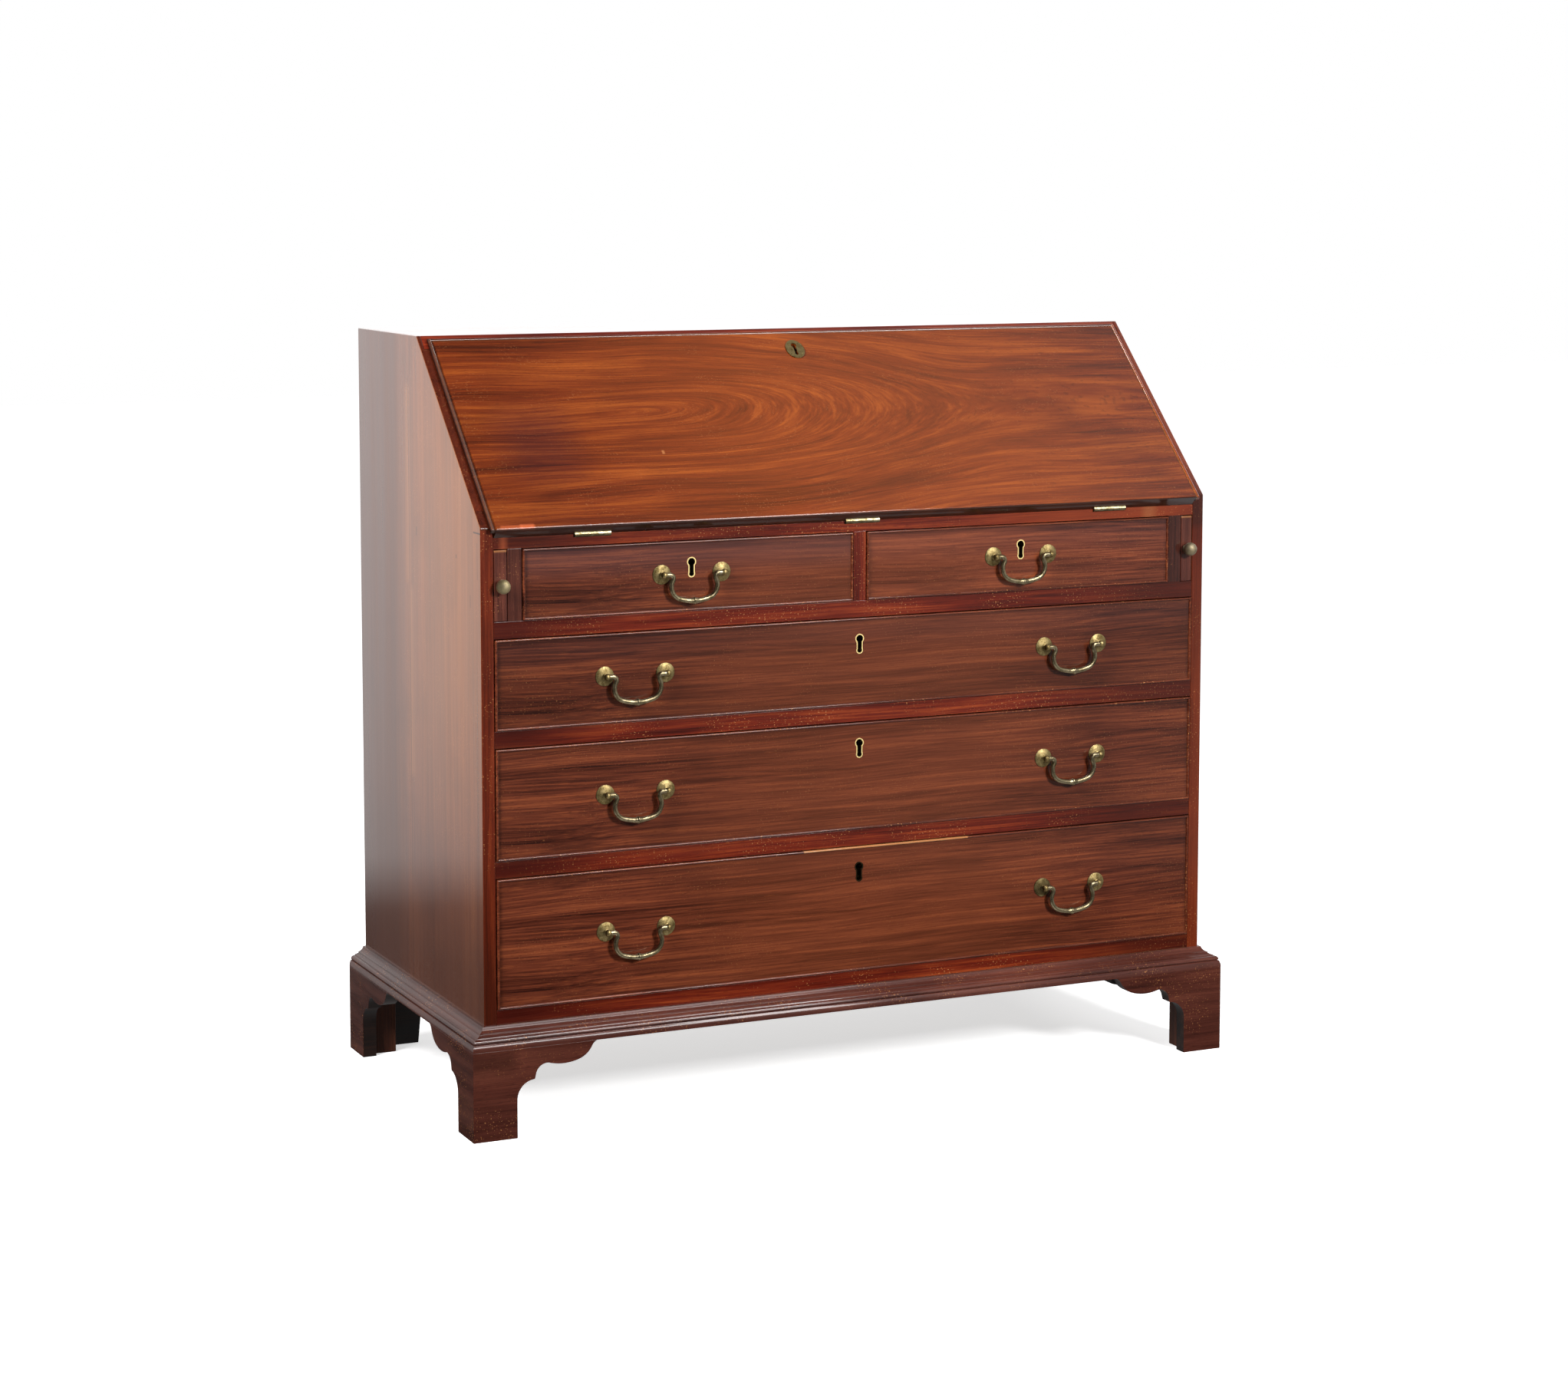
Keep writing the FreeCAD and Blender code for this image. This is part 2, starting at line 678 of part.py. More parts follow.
def make_fall():
    """The fall with its moulded lip, hinge leaves, lock and escutcheon."""
    body_half = inner_half - fall_side_gap
    lip_half = inner_half + lip_overlap
    body = box(-body_half, body_half, fall_bottom, fall_body_top, fall_inner, lip_clearance)
    lip = box(-lip_half, lip_half, fall_bottom, fall_lip_top, lip_clearance, fall_outer)
    across = V(2 * lip_half + 2, 0, 0)
    up_run = V(0, fall_lip_top - fall_bottom + 2, 0)
    right = bead_cutter(lambda edge, out: V(lip_half - edge, fall_bottom - 1, out), up_run)
    top = bead_cutter(lambda edge, out: V(-lip_half - 1, fall_lip_top - edge, out), across)
    bottom = round_cutter(lambda edge, out: V(-lip_half - 1, fall_bottom + edge, out), across,
                          lip_bottom_round)

    # The bead's lengths meet in mitres at the two upper corners
    over = 3.0
    reach = lip_bead + lip_quirk_width + over
    corner = (lip_half + over, fall_lip_top + over)
    mitre_end = (lip_half - reach, fall_lip_top - reach)
    right = right.common(prism_z(0, fall_outer + over, corner, [
        mitre_end, (lip_half - reach, fall_bottom - over), (lip_half + over, fall_bottom - over)]))
    top = top.common(prism_z(0, fall_outer + over, corner, [
        mitre_end, (-mitre_end[0], mitre_end[1]), (-corner[0], corner[1])]))
    lip = lip.cut([right, mirrored(right), top, bottom])
    board = on_slope(body.fuse(lip).removeSplitter())

    cuts = barrel_notches()
    leaves = []
    for middle in hinge_middles():
        plate = slope_box(middle - hinge_length / 2, middle + hinge_length / 2,
                          axis_up, fall_bottom + hinge_leaf_width,
                          fall_inner, fall_inner + hinge_leaf_thickness)
        cuts.append(plate)
        leaves.append(hinge_leaf(middle, 1, plate))
    add_node("fall_hinge_leaves", leaves)

    lock_x = fall_lock_shift
    lock_front = fall_inner + lock_thickness
    lock = slope_box(lock_x - lock_width / 2, lock_x + lock_width / 2,
                     fall_body_top - lock_height, fall_body_top, fall_inner, lock_front)
    inset = fall_keyhole_inset
    start, steps = keyhole_outline(escutcheon_head_radius - inset, escutcheon_foot_radius - inset,
                                   escutcheon_waist - 2 * inset, escutcheon_height - 2 * inset)
    keyhole_floor = fall_inner + lock_thickness / 3
    hole = outline(lambda x, up: V(x + lock_x, up + fall_keyhole_up, keyhole_floor), start, steps)
    hole = on_slope(hole.extrude(V(0, 0, fall_outer + oval_thickness + 1 - keyhole_floor)))
    cuts.append(lock)
    cuts.append(hole)
    add_node("fall_lock", [lock.cut(hole)])
    add_node("fall_board", [board.cut(cuts)])

    oval_middle = V(lock_x, fall_keyhole_up, fall_outer)
    oval_head = oval_middle + V(0, oval_height / 2, 0)
    oval_side = oval_middle + V(oval_width / 2, 0, 0)
    oval = Part.Ellipse(oval_head, oval_side, oval_middle)
    plate = Part.Face(Part.Wire(oval.toShape())).extrude(V(0, 0, oval_thickness))
    pins = []
    for turn in (45, 135, 225, 315):
        angle = math.radians(turn)
        x = lock_x + oval_pin_share * oval_width * math.cos(angle)
        up = fall_keyhole_up + oval_pin_share * oval_height * math.sin(angle)
        pins.append(Part.makeSphere(oval_pin_radius, V(x, up, fall_outer + oval_thickness)))
    floor_slab = box(lock_x - oval_width, lock_x + oval_width, fall_keyhole_up - oval_height,
                     fall_keyhole_up + oval_height, fall_outer - oval_thickness, fall_outer)
    plate = plate.fuse(pins).cut(floor_slab)
    add_node("fall_escutcheon", [on_slope(plate).cut(hole)])


def make_lopers():
    """Two supports that pull out under the fall, each with a brass knob."""
    spare = (loper_slot_width - loper_thickness) / 2
    x0 = partition_outer + spare
    x1 = x0 + loper_thickness
    z0 = short_bay_floor + drawer_running_gap
    open_fall_under = bed_top - fall_thickness
    z1 = open_fall_under - lip_clearance
    loper = box(x0, x1, front, front + loper_length, z0, z1)
    arrises = [edge for edge in loper.Edges
               if all(abs(vertex.Y - front) < tolerance for vertex in edge.Vertexes)]
    loper = loper.makeFillet(loper_round, arrises)
    middle = V((x0 + x1) / 2, front, (z0 + z1) / 2)
    bore = cylinder(loper_knob_shank_radius, middle, middle + V(0, loper_knob_shank_length, 0))
    add_node("loper_right", [loper.cut(bore)])
    add_node("loper_left", [mirrored(loper.cut(bore))])

    ball = loper_knob_radius
    neck = loper_knob_neck_radius
    collar = loper_knob_collar_radius
    ball_foot = loper_knob_reach - 2 * ball
    lift = math.sqrt(ball * ball - neck * neck)
    knob = turned((0.0, -loper_knob_shank_length), [
        (loper_knob_shank_radius, -loper_knob_shank_length),
        (loper_knob_shank_radius, 0.0),
        (collar, 0.0),
        (collar, loper_knob_collar_height),
        (neck, ball_foot),
        (neck, loper_knob_reach - ball - lift),
        (ball, loper_knob_reach - ball, 0.0, loper_knob_reach),
    ], middle, OUTWARD)
    add_node("loper_knob_right", [knob])
    add_node("loper_knob_left", [mirrored(knob)])


def bead_frame(x0, x1, z0, z1):
    """Four round-nosed cock beads, mitred round a drawer front."""
    y0 = front - bead_proud
    y1 = front + bead_depth
    shoulder = y0 + bead_width / 2
    width = bead_width

    def nosed(a0, a1):
        middle = (a0 + a1) / 2
        return (y1, a0), [(shoulder, a0), (y0, middle, shoulder, a1), (y1, a1)]

    strips = []
    for z_outer, z_inner in ((z0, z0 + width), (z1, z1 - width)):
        length = prism_x(x0, x1, *nosed(min(z_outer, z_inner), max(z_outer, z_inner)))
        mitre = prism_y(y0, y1, (x0, z_outer), [(x1, z_outer), (x1 - width, z_inner), (x0 + width, z_inner)])
        strips.append(length.common(mitre))
    for x_outer, x_inner in ((x0, x0 + width), (x1, x1 - width)):
        start, steps = nosed(min(x_outer, x_inner), max(x_outer, x_inner))
        face = outline(lambda y, x: V(x, y, z0), start, steps)
        length = face.extrude(V(0, 0, z1 - z0))
        mitre = prism_y(y0, y1, (x_outer, z0), [(x_outer, z1), (x_inner, z1 - width), (x_inner, z0 + width)])
        strips.append(length.common(mitre))
    return strips


def dovetails(x0, z0, z1):
    """The tails of a drawer side that lap into the drawer front."""
    root = front + drawer_front_thickness
    tip = root - tail_length
    count = max(2, round((z1 - z0) / tail_spacing))
    pitch = (z1 - z0) / count
    tails = []
    for i in range(count):
        middle = z0 + (i + 0.5) * pitch
        half = tail_width / 2
        tails.append(prism_x(x0, x0 + drawer_side_thickness, (root, middle - half), [
            (tip, middle - half - tail_flare), (tip, middle + half + tail_flare), (root, middle + half)]))
    return tails


def bail_path(x, z):
    """One side of the bail to the other: pins, swan necks, bellies and the gently bowed grip."""
    y = front - post_reach
    half = post_spacing / 2
    pin_end = half + bail_pin_share * post_head_radius
    neck_radius = bail_neck_radius
    throat_radius = bail_throat_radius
    throat_turn = math.radians(bail_throat_degrees)
    neck_x = half - bail_pin_inset

    # Down through the neck, out round the throat, then in round the belly to the grip
    throat_start = (neck_x - neck_radius, -neck_radius)
    throat_centre = (throat_start[0] + throat_radius, throat_start[1])

    def on_throat(turn):
        return (throat_centre[0] - throat_radius * math.cos(turn),
                throat_centre[1] - throat_radius * math.sin(turn))

    throat_end = on_throat(throat_turn)
    # The belly runs on from the throat and meets the bowed grip without a corner
    grip_radius = bail_grip_radius
    grip_height = grip_radius - bail_drop
    fall_to_throat = throat_end[1] - grip_height
    along_throat = throat_end[0] * math.cos(throat_turn) + fall_to_throat * math.sin(throat_turn)
    belly_radius = ((throat_end[0] ** 2 + fall_to_throat ** 2 - grip_radius ** 2)
                    / (2 * (along_throat - grip_radius)))
    belly_centre = (throat_end[0] - belly_radius * math.cos(throat_turn),
                    throat_end[1] - belly_radius * math.sin(throat_turn))
    grip_turn = math.atan2(belly_centre[1] - grip_height, belly_centre[0])
    belly_middle_turn = (throat_turn + grip_turn) / 2
    belly_middle = (belly_centre[0] + belly_radius * math.cos(belly_middle_turn),
                    belly_centre[1] + belly_radius * math.sin(belly_middle_turn))
    belly_end = (grip_radius * math.cos(grip_turn), grip_height + grip_radius * math.sin(grip_turn))
    grip_middle = (0.0, -bail_drop)
    bend = math.sqrt(0.5)
    neck_middle = (neck_x - neck_radius * bend, -neck_radius * (1 - bend))

    def at(point, side):
        return V(x + side * point[0], y, z + point[1])

    edges = []
    for side in (-1, 1):
        run = [
            Part.LineSegment(at((pin_end, 0), side), at((neck_x, 0), side)),
            Part.Arc(at((neck_x, 0), side), at(neck_middle, side), at(throat_start, side)),
            Part.Arc(at(throat_start, side), at(on_throat(throat_turn / 2), side), at(throat_end, side)),
            Part.Arc(at(throat_end, side), at(belly_middle, side), at(belly_end, side)),
        ]
        edges.extend(curve.toShape() for curve in run)
    edges.append(Part.Arc(at(belly_end, -1), at(grip_middle, 1), at(belly_end, 1)).toShape())
    return Part.Wire(Part.__sortEdges__(edges)), at((-pin_end, 0), 1)


def make_bail(x, z):
    """A swan-neck bail of round bar that swells to a turned knop at the middle of its grip."""
    path, start = bail_path(x, z)
    section = Part.Wire(Part.Circle(start, ALONG_X, bail_radius).toShape())
    bar = path.makePipeShell([section], True, False)
    knop_middle = V(x, front - post_reach, z - bail_drop)
    half = bail_knop_half_length
    end = bail_spindle_half_length
    root = bail_spindle_root_share * bail_radius
    swell = bail_spindle_radius
    knop = turned((0.0, -end), [
        (root, -end),
        (swell, -half),
        (bail_knop_radius, 0.0, swell, half),
        (root, end),
        (0.0, end)], knop_middle, ALONG_X)
    return bar.fuse(knop)


def make_posts(x, z):
    """Two rosettes with their posts and nuts; returns the brasses and the holes they need."""
    pieces = []
    holes = []
    shank_end = drawer_front_thickness + post_nut_thickness
    bore = post_shank_radius + bored_clearance
    rosette = rosette_radius
    head = post_head_radius
    collar = post_collar_share * head
    neck = post_neck_share * head
    lift = math.sqrt(head * head - neck * neck)
    dome_middle = (rosette_dome_middle[0] * rosette, rosette_dome_middle[1])

    for side in (-1, 1):
        foot = V(x + side * post_spacing / 2, front, z)
        pieces.append(turned((bore, 0.0), [
            (rosette, 0.0),
            (rosette, rosette_rim_height),
            dome_middle + (rosette_dome_radius, rosette_dome_height),
            (bore, rosette_dome_height)], foot, OUTWARD))
        post = turned((0.0, -shank_end), [
            (post_shank_radius, -shank_end),
            (post_shank_radius, rosette_dome_height),
            (collar, rosette_dome_height),
            (collar, post_collar_height),
            (neck, post_neck_height),
            (neck, post_reach - lift),
            (head, post_reach, 0.0, post_reach + head)], foot, OUTWARD)
        pivot = V(foot.x, front - post_reach, z)
        reach = V(2 * head, 0, 0)
        post = post.cut(cylinder(bail_radius + bail_running_gap, pivot - reach, pivot + reach))
        pieces.append(post)
        nut_foot = V(foot.x, front + drawer_front_thickness, z)
        nut = cylinder(post_nut_radius, nut_foot, nut_foot + V(0, post_nut_thickness, 0))
        pieces.append(nut.cut(cylinder(bore, nut_foot, nut_foot + V(0, post_nut_thickness, 0))))
        holes.append(cylinder(bore, foot, nut_foot))
    return pieces, holes


def make_drawer(bay):
    """A lap-dovetailed drawer with cock beads, lock, escutcheon, posts and hanging bails."""
    x0 = bay.x0 + drawer_side_gap
    x1 = bay.x1 - drawer_side_gap
    z0 = bay.z0 + drawer_running_gap
    z1 = bay.z1 - drawer_top_gap
    middle = (x0 + x1) / 2
    face_back = front + drawer_front_thickness
    drawer_end = front + drawer_depth
    wall = drawer_side_thickness
    bottom_z0 = z0 + drawer_bottom_rise
    bottom_z1 = bottom_z0 + drawer_bottom_thickness
    side_top = z1 - drawer_side_drop

    add_node(bay.name + "_beads", bead_frame(x0, x1, z0, z1))

    bottom = box(x0 + wall - drawer_groove_depth, x1 - wall + drawer_groove_depth,
                 face_back - drawer_groove_depth, drawer_end, bottom_z0, bottom_z1)
    side = box(x0, x0 + wall, face_back, drawer_end, z0, side_top)
    tails = dovetails(x0, z0 + drawer_bottom_rise, side_top - drawer_bottom_rise)
    side = side.fuse(tails).removeSplitter().cut(bottom)
    shift = V(x1 - x0 - wall, 0, 0)
    far_tails = [tail.translated(shift) for tail in tails]
    far_side = box(x1 - wall, x1, face_back, drawer_end, z0, side_top)
    far_side = far_side.fuse(far_tails).removeSplitter().cut(bottom)
    rear = box(x0 + wall, x1 - wall, drawer_end - drawer_back_thickness, drawer_end,
               bottom_z1, z1 - drawer_back_drop)
    add_node(bay.name + "_box", [side, far_side, rear, bottom])

    key_z = z1 - keyhole_drop
    brass_back = front + escutcheon_depth
    lock_z1 = z1 - lock_top_margin
    lock = box(middle - lock_width / 2, middle + lock_width / 2, face_back - lock_thickness, face_back,
               lock_z1 - lock_height, lock_z1)
    keyhole = keyhole_prism(escutcheon_thread, middle, key_z, front - 1, face_back - lock_thickness / 3)
    seat = keyhole_prism(0.0, middle, key_z, front, brass_back)
    escutcheon = keyhole_prism(0.0, middle, key_z, front - escutcheon_proud, brass_back)

    brasses = [escutcheon.cut(keyhole), lock.cut(keyhole)]
    cuts = [bottom, lock, keyhole, seat] + tails + far_tails
    handle_z = (bay.z0 + bay.z1) / 2 + handle_rise
    for handle_x in bay.handle_xs:
        pieces, holes = make_posts(handle_x, handle_z)
        brasses.extend(pieces)
        cuts.extend(holes)
        name = bay.name + "_bail"
        if len(bay.handle_xs) > 1:
            name += "_left" if handle_x < 0 else "_right"
        add_node(name, [make_bail(handle_x, handle_z)])
    add_node(bay.name + "_brasses", brasses)

    blank = box(x0, x1, front, face_back, z0, z1)
    panel = box(x0 + bead_width, x1 - bead_width, front, front + bead_depth, z0 + bead_width, z1 - bead_width)
    rebate = box(x0, x1, front, front + bead_depth, z0, z1).cut(panel)
    add_node(bay.name + "_front", [blank.cut([rebate] + cuts)])


def make_interior():
    """Pigeonholes over a row of small drawers, behind the fall."""
    half_board = interior_board / 2
    shelf = box(-inner_half, inner_half, interior_front, back_inner, shelf_floor, shelf_floor + interior_board)
    case = [shelf]
    span = 2 * inner_half - interior_board
    for i in range(small_drawer_count + 1):
        x = -inner_half + half_board + i * span / small_drawer_count
        case.append(box(x - half_board, x + half_board, interior_front, back_inner, bed_top, shelf_floor))
    add_node("interior_drawer_case", case)

    uprights = []
    for i in range(pigeonhole_count + 1):
        x = -inner_half + half_board + i * span / pigeonhole_count
        uprights.append(box(x - half_board, x + half_board, interior_front, back_inner,
                            shelf_floor + interior_board, top_under))
    add_node("pigeonhole_partitions", uprights)

    pitch = span / small_drawer_count
    for i in range(small_drawer_count):
        start = -inner_half + interior_board + i * pitch
        add_node("small_drawer_%d" % (i + 1), small_drawer(start, start + pitch - interior_board))


def small_drawer(bay_x0, bay_x1):
    """A small drawer with a turned wooden knob."""
    x0 = bay_x0 + small_drawer_gap
    x1 = bay_x1 - small_drawer_gap
    z0 = bed_top + small_drawer_running_gap
    z1 = shelf_floor - small_drawer_gap
    wall = small_wall
    face_back = interior_front + small_front_thickness
    end = interior_front + small_drawer_depth
    bottom_z0 = z0 + small_bottom_rise
    bottom_z1 = bottom_z0 + small_bottom_thickness
    knob_foot = V((x0 + x1) / 2, interior_front, (z0 + z1) / 2)
    shank = V(0, small_front_thickness, 0)
    face = box(x0, x1, interior_front, face_back, z0, z1)
    face = face.cut(cylinder(small_knob_neck_radius + bored_clearance, knob_foot, knob_foot + shank))
    wall_top = z1 - small_wall_drop
    ball_middle = small_knob_reach - small_knob_radius
    lift = math.sqrt(small_knob_radius ** 2 - small_knob_neck_radius ** 2)
    knob = turned((0.0, -small_front_thickness), [
        (small_knob_neck_radius, -small_front_thickness),
        (small_knob_neck_radius, ball_middle - lift),
        (small_knob_radius, ball_middle, 0.0, small_knob_reach),
    ], knob_foot, OUTWARD)
    return [
        face,
        box(x0, x0 + wall, face_back, end, z0, wall_top),
        box(x1 - wall, x1, face_back, end, z0, wall_top),
        box(x0 + wall, x1 - wall, end - wall, end, bottom_z1, z1 - small_back_drop),
        box(x0 + wall, x1 - wall, face_back, end - small_bottom_setback, bottom_z0, bottom_z1),
        knob,
    ]


def export_nodes():
    """Write each named piece to its own file."""
    os.makedirs("parts", exist_ok=True)
    for name, solids in nodes.items():
        shape = solids[0] if len(solids) == 1 else Part.makeCompound(solids)
        shape.exportStep("parts/%s.step" % name)
        faulty = [solid for solid in solids if not solid.isValid() or solid.Volume <= 0]
        print("%-28s %2d solids %10.1f cm3%s" % (
            name, len(solids), sum(solid.Volume for solid in solids) / 1000,
            "  INVALID" if faulty else ""))


def main():
    """Make every piece, then write them out."""
    bed = make_carcase()
    make_base_moulding()
    make_feet()
    make_bed_and_hinges(bed)
    make_fall()
    make_lopers()
    for bay in bays:
        make_drawer(bay)
    make_interior()
    export_nodes()
    print("%d pieces in the list" % len(nodes))


main()
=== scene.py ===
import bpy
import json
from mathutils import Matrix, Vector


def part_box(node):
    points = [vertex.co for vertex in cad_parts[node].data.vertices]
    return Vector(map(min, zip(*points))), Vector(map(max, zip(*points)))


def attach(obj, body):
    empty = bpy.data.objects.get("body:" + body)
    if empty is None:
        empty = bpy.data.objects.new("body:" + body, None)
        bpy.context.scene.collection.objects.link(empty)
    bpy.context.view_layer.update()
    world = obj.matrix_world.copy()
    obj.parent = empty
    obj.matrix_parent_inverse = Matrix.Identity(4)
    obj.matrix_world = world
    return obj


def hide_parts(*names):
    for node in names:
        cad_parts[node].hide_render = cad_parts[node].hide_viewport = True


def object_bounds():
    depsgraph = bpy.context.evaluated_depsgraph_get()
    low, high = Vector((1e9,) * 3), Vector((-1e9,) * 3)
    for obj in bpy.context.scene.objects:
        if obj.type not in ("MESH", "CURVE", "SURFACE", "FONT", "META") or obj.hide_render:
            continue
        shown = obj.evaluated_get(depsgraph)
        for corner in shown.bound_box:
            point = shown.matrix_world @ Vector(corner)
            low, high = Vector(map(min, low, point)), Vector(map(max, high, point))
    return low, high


bl_info = {
    "name": "Slope-front bureau",
    "version": (1, 0, 0),
    "blender": (4, 5, 0),
    "location": "View3D > Sidebar > Bureau",
    "description": "Finishes a mahogany slope-front bureau around its solid frame",
    "category": "Object",
}

import json
import math
from typing import NamedTuple
import bmesh
import bpy
from mathutils import Vector

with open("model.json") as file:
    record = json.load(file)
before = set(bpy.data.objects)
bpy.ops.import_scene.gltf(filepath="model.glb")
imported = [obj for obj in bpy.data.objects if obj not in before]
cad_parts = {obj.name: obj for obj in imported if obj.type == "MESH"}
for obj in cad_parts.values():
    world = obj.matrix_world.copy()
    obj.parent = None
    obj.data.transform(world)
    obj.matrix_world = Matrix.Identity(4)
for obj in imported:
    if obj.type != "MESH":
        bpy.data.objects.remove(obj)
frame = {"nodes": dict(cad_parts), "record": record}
cad_box = [list(corner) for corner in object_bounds()]

MM = 0.001

# Which body carries each node
bodies = frame["record"]["behaviour"]["bodies"]
body_of = {node: body for body, members in bodies.items() for node in members}

# The drawers, from the top down
SHORT_DRAWERS = ("short_drawer_left", "short_drawer_right")
LONG_DRAWERS = ("long_drawer_shallow", "long_drawer_middle", "long_drawer_deep")
SMALL_DRAWERS = ("small_drawer_1", "small_drawer_2", "small_drawer_3", "small_drawer_4")

# Directions of the grain: the turn that lays a pattern's length along it
ALONG_X = (0.0, 0.0, 0.0)
ALONG_Y = (0.0, 0.0, math.pi / 2)
ALONG_Z = (0.0, -math.pi / 2, 0.0)

# The way to the front of the bureau
FORWARD = Vector((0.0, -1.0, 0.0))

# The slope of the fall, read from its largest upper face, and the foot and rise of that face
fall_mesh = frame["nodes"]["fall_board"].data
fall_face = max(fall_mesh.polygons, key=lambda face: face.area * face.normal.z)
fall_plane = fall_face.normal.dot(fall_mesh.vertices[fall_face.vertices[0]].co)
fall_corners = [vertex.co for vertex in fall_mesh.vertices
                if abs(fall_face.normal.dot(vertex.co) - fall_plane) < 0.05 * MM]
fall_corners.sort(key=lambda place: place.z)
SLOPE_ANGLE = math.atan2(abs(fall_face.normal.y), abs(fall_face.normal.z))
ON_SLOPE = (SLOPE_ANGLE, 0.0, 0.0)
fall_low, fall_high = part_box("fall_board")
FALL_FOOT = Vector((0.0, fall_corners[0].y, fall_corners[0].z))
UP_SLOPE = Vector((0.0, math.cos(SLOPE_ANGLE), math.sin(SLOPE_ANGLE)))
FALL_RISE = (fall_corners[-1] - fall_corners[0]).dot(UP_SLOPE) / MM


def linear(hex_text):
    """An sRGB hex value as linear red, green and blue."""
    channels = [int(hex_text[i:i + 2], 16) / 255 for i in (0, 2, 4)]
    return tuple(c / 12.92 if c <= 0.04045 else ((c + 0.055) / 1.055) ** 2.4 for c in channels)


def colour(name, description, hex_text):
    """A colour that a user can change."""
    return bpy.props.FloatVectorProperty(name=name, description=description, subtype="COLOR", size=3,
                                         min=0.0, max=1.0, default=linear(hex_text))


def length(name, description, millimetres):
    """A length that a user can change."""
    return bpy.props.FloatProperty(name=name, description=description, unit="LENGTH",
                                   default=millimetres * MM)


def share(name, description, value, most=1.0):
    """A plain number that a user can change."""
    return bpy.props.FloatProperty(name=name, description=description, min=0.0, max=most, default=value)


class BureauFinish(bpy.types.PropertyGroup):
    """Colours and polish of the woods and the brass."""

    # Bare wood is also painted light: the bead's highlight on the fall's right end, the lopers' pale top
    # edge and the sides' paler upper front
    raw_wood_and_highlight: colour("Bare wood", "Wood where the polish is gone", "b87b4a")
    chipped: colour("Chip", "Fresh wood of a chipped edge", "c8643c")
    lip: colour("Lip", "Dusty polish on the moulded edge of the fall", "4d382f")
    # The bloom is partly grey bloom in the polish and partly a painted reflection at the top of the upper
    # drawers
    bloom_and_reflection: colour("Bloom", "Grey bloom in the polish", "6b5358")
    # Grime is also painted shade: inside the keyholes and under the fall's foot, besides dirt in joints and
    # scars
    grime_and_shade: colour("Grime", "Old wax and dirt in joints, quirks and keyholes", "120806")
    stain: colour("Stain", "Old ink and damp in the polish", "33141a")
    brass_bright: colour("Brass, bright", "Rubbed brass", "a08d60")
    brass_dull: colour("Brass, dull", "Tarnished brass", "625230")
    brass_grey: colour("Brass, grey", "Handled brass of the bails", "9a8d70")
    brass_olive: colour("Brass, olive", "Hollows of the bails", "64593f")
    brass_satin: colour("Brass, satin", "Satin brass of the left loper's knob", "ab9d76")
    brass_ash: colour("Brass, ash", "Greyed brass of the right loper's knob", "8a7d68")
    brass_pale: colour("Brass, pale", "Scoured brass of the hinges", "f0e2b8")
    brass_thread: colour("Brass, thread", "Rubbed brass round the keyholes", "f0d898")
    # Black brass is also painted shade: under the hinges' knuckles and where brass meets the wood, besides
    # blackened brass
    brass_black: colour("Brass, black", "Blackened brass and old polish", "241c12")
    polish: share("Polish", "Strength of the French polish over the wood", 0.8)


# The woods: what each is called, what it finishes, and its dark, middle and light grain
WOODS = {
    "fall": ("Fall", "the fall", "3a1406", "6d2b0e", "994b19"),
    "front": ("Drawers", "the drawer fronts", "2b100a", "5c2b1b", "854427"),
    "rail": ("Rails", "the rails", "390f09", "6a2011", "97401d"),
    "stile": ("Stiles", "the uprights", "34130a", "5f200e", "85381b"),
    "side": ("Sides", "the sides", "462519", "6d3c26", "8e5636"),
    "base": ("Base", "the moulding and feet", "26110e", "532a21", "744031"),
    "sawn": ("Sawn edges", "the stained sawn edges", "0e0807", "1d110d", "342019"),
    # The blocks' stain is painted paler than the sawn edges', standing in for light bounced up off the
    # floor
    "stain": ("Blocks", "the stained glue blocks", "2a1510", "5a3122", "774833"),
    "oak": ("Oak", "the linings and interior", "6b4a2c", "9a7248", "b48d5e"),
    "pine": ("Pine", "the back boards", "543a24", "856341", "a07d55"),
}
TONES = ("dark", "mid", "light")

for wood, (title, pieces, *shades) in WOODS.items():
    for tone, shade in zip(TONES, shades):
        BureauFinish.__annotations__[wood + "_" + tone] = colour(
            title + ", " + tone, "The " + tone + " grain of " + pieces, shade)


class BureauSizes(bpy.types.PropertyGroup):
    """Worn edges and marks."""

    arris: length("Arris", "Roundness of a kept edge", 0.6)
    worn_arris: length("Worn arris", "Roundness of a rubbed edge", 1.2)
    seam_y: length("Seam", "Where the two boards of each side meet, from the middle", 47.0)


class BureauStage(bpy.types.PropertyGroup):
    """Camera and studio light."""

    camera_place: bpy.props.FloatVectorProperty(
        name="Camera", description="Where the camera stands", subtype="TRANSLATION", unit="LENGTH",
        default=(-2.01523, -4.3108, 1.27824))
    camera_yaw: bpy.props.FloatProperty(
        name="Yaw", description="The camera's turn to the right of straight ahead", unit="ROTATION",
        default=math.radians(24.672))
    camera_dip: bpy.props.FloatProperty(
        name="Dip", description="The camera's tilt below level", unit="ROTATION",
        default=math.radians(5.70))
    lens: bpy.props.FloatProperty(
        name="Lens", description="Focal length over a sensor 36 mm wide", unit="CAMERA", default=75.906)
    camera_shift: bpy.props.FloatVectorProperty(
        name="Shift", description="How far the picture is moved on the sensor, in shares of its width",
        size=2, default=(0.01326, -0.11704))
    key: share("Key light", "Watts of the light in front, above the eye", 195.0, 5000.0)
    sheen: share("Sheen light", "Watts of the large light that the brass mirrors", 140.0, 5000.0)
    window: share("Window light", "Watts of the large light on the left", 155.0, 5000.0)
    strip: share("Strip light", "Watts of the long light that the edges mirror", 55.0, 5000.0)


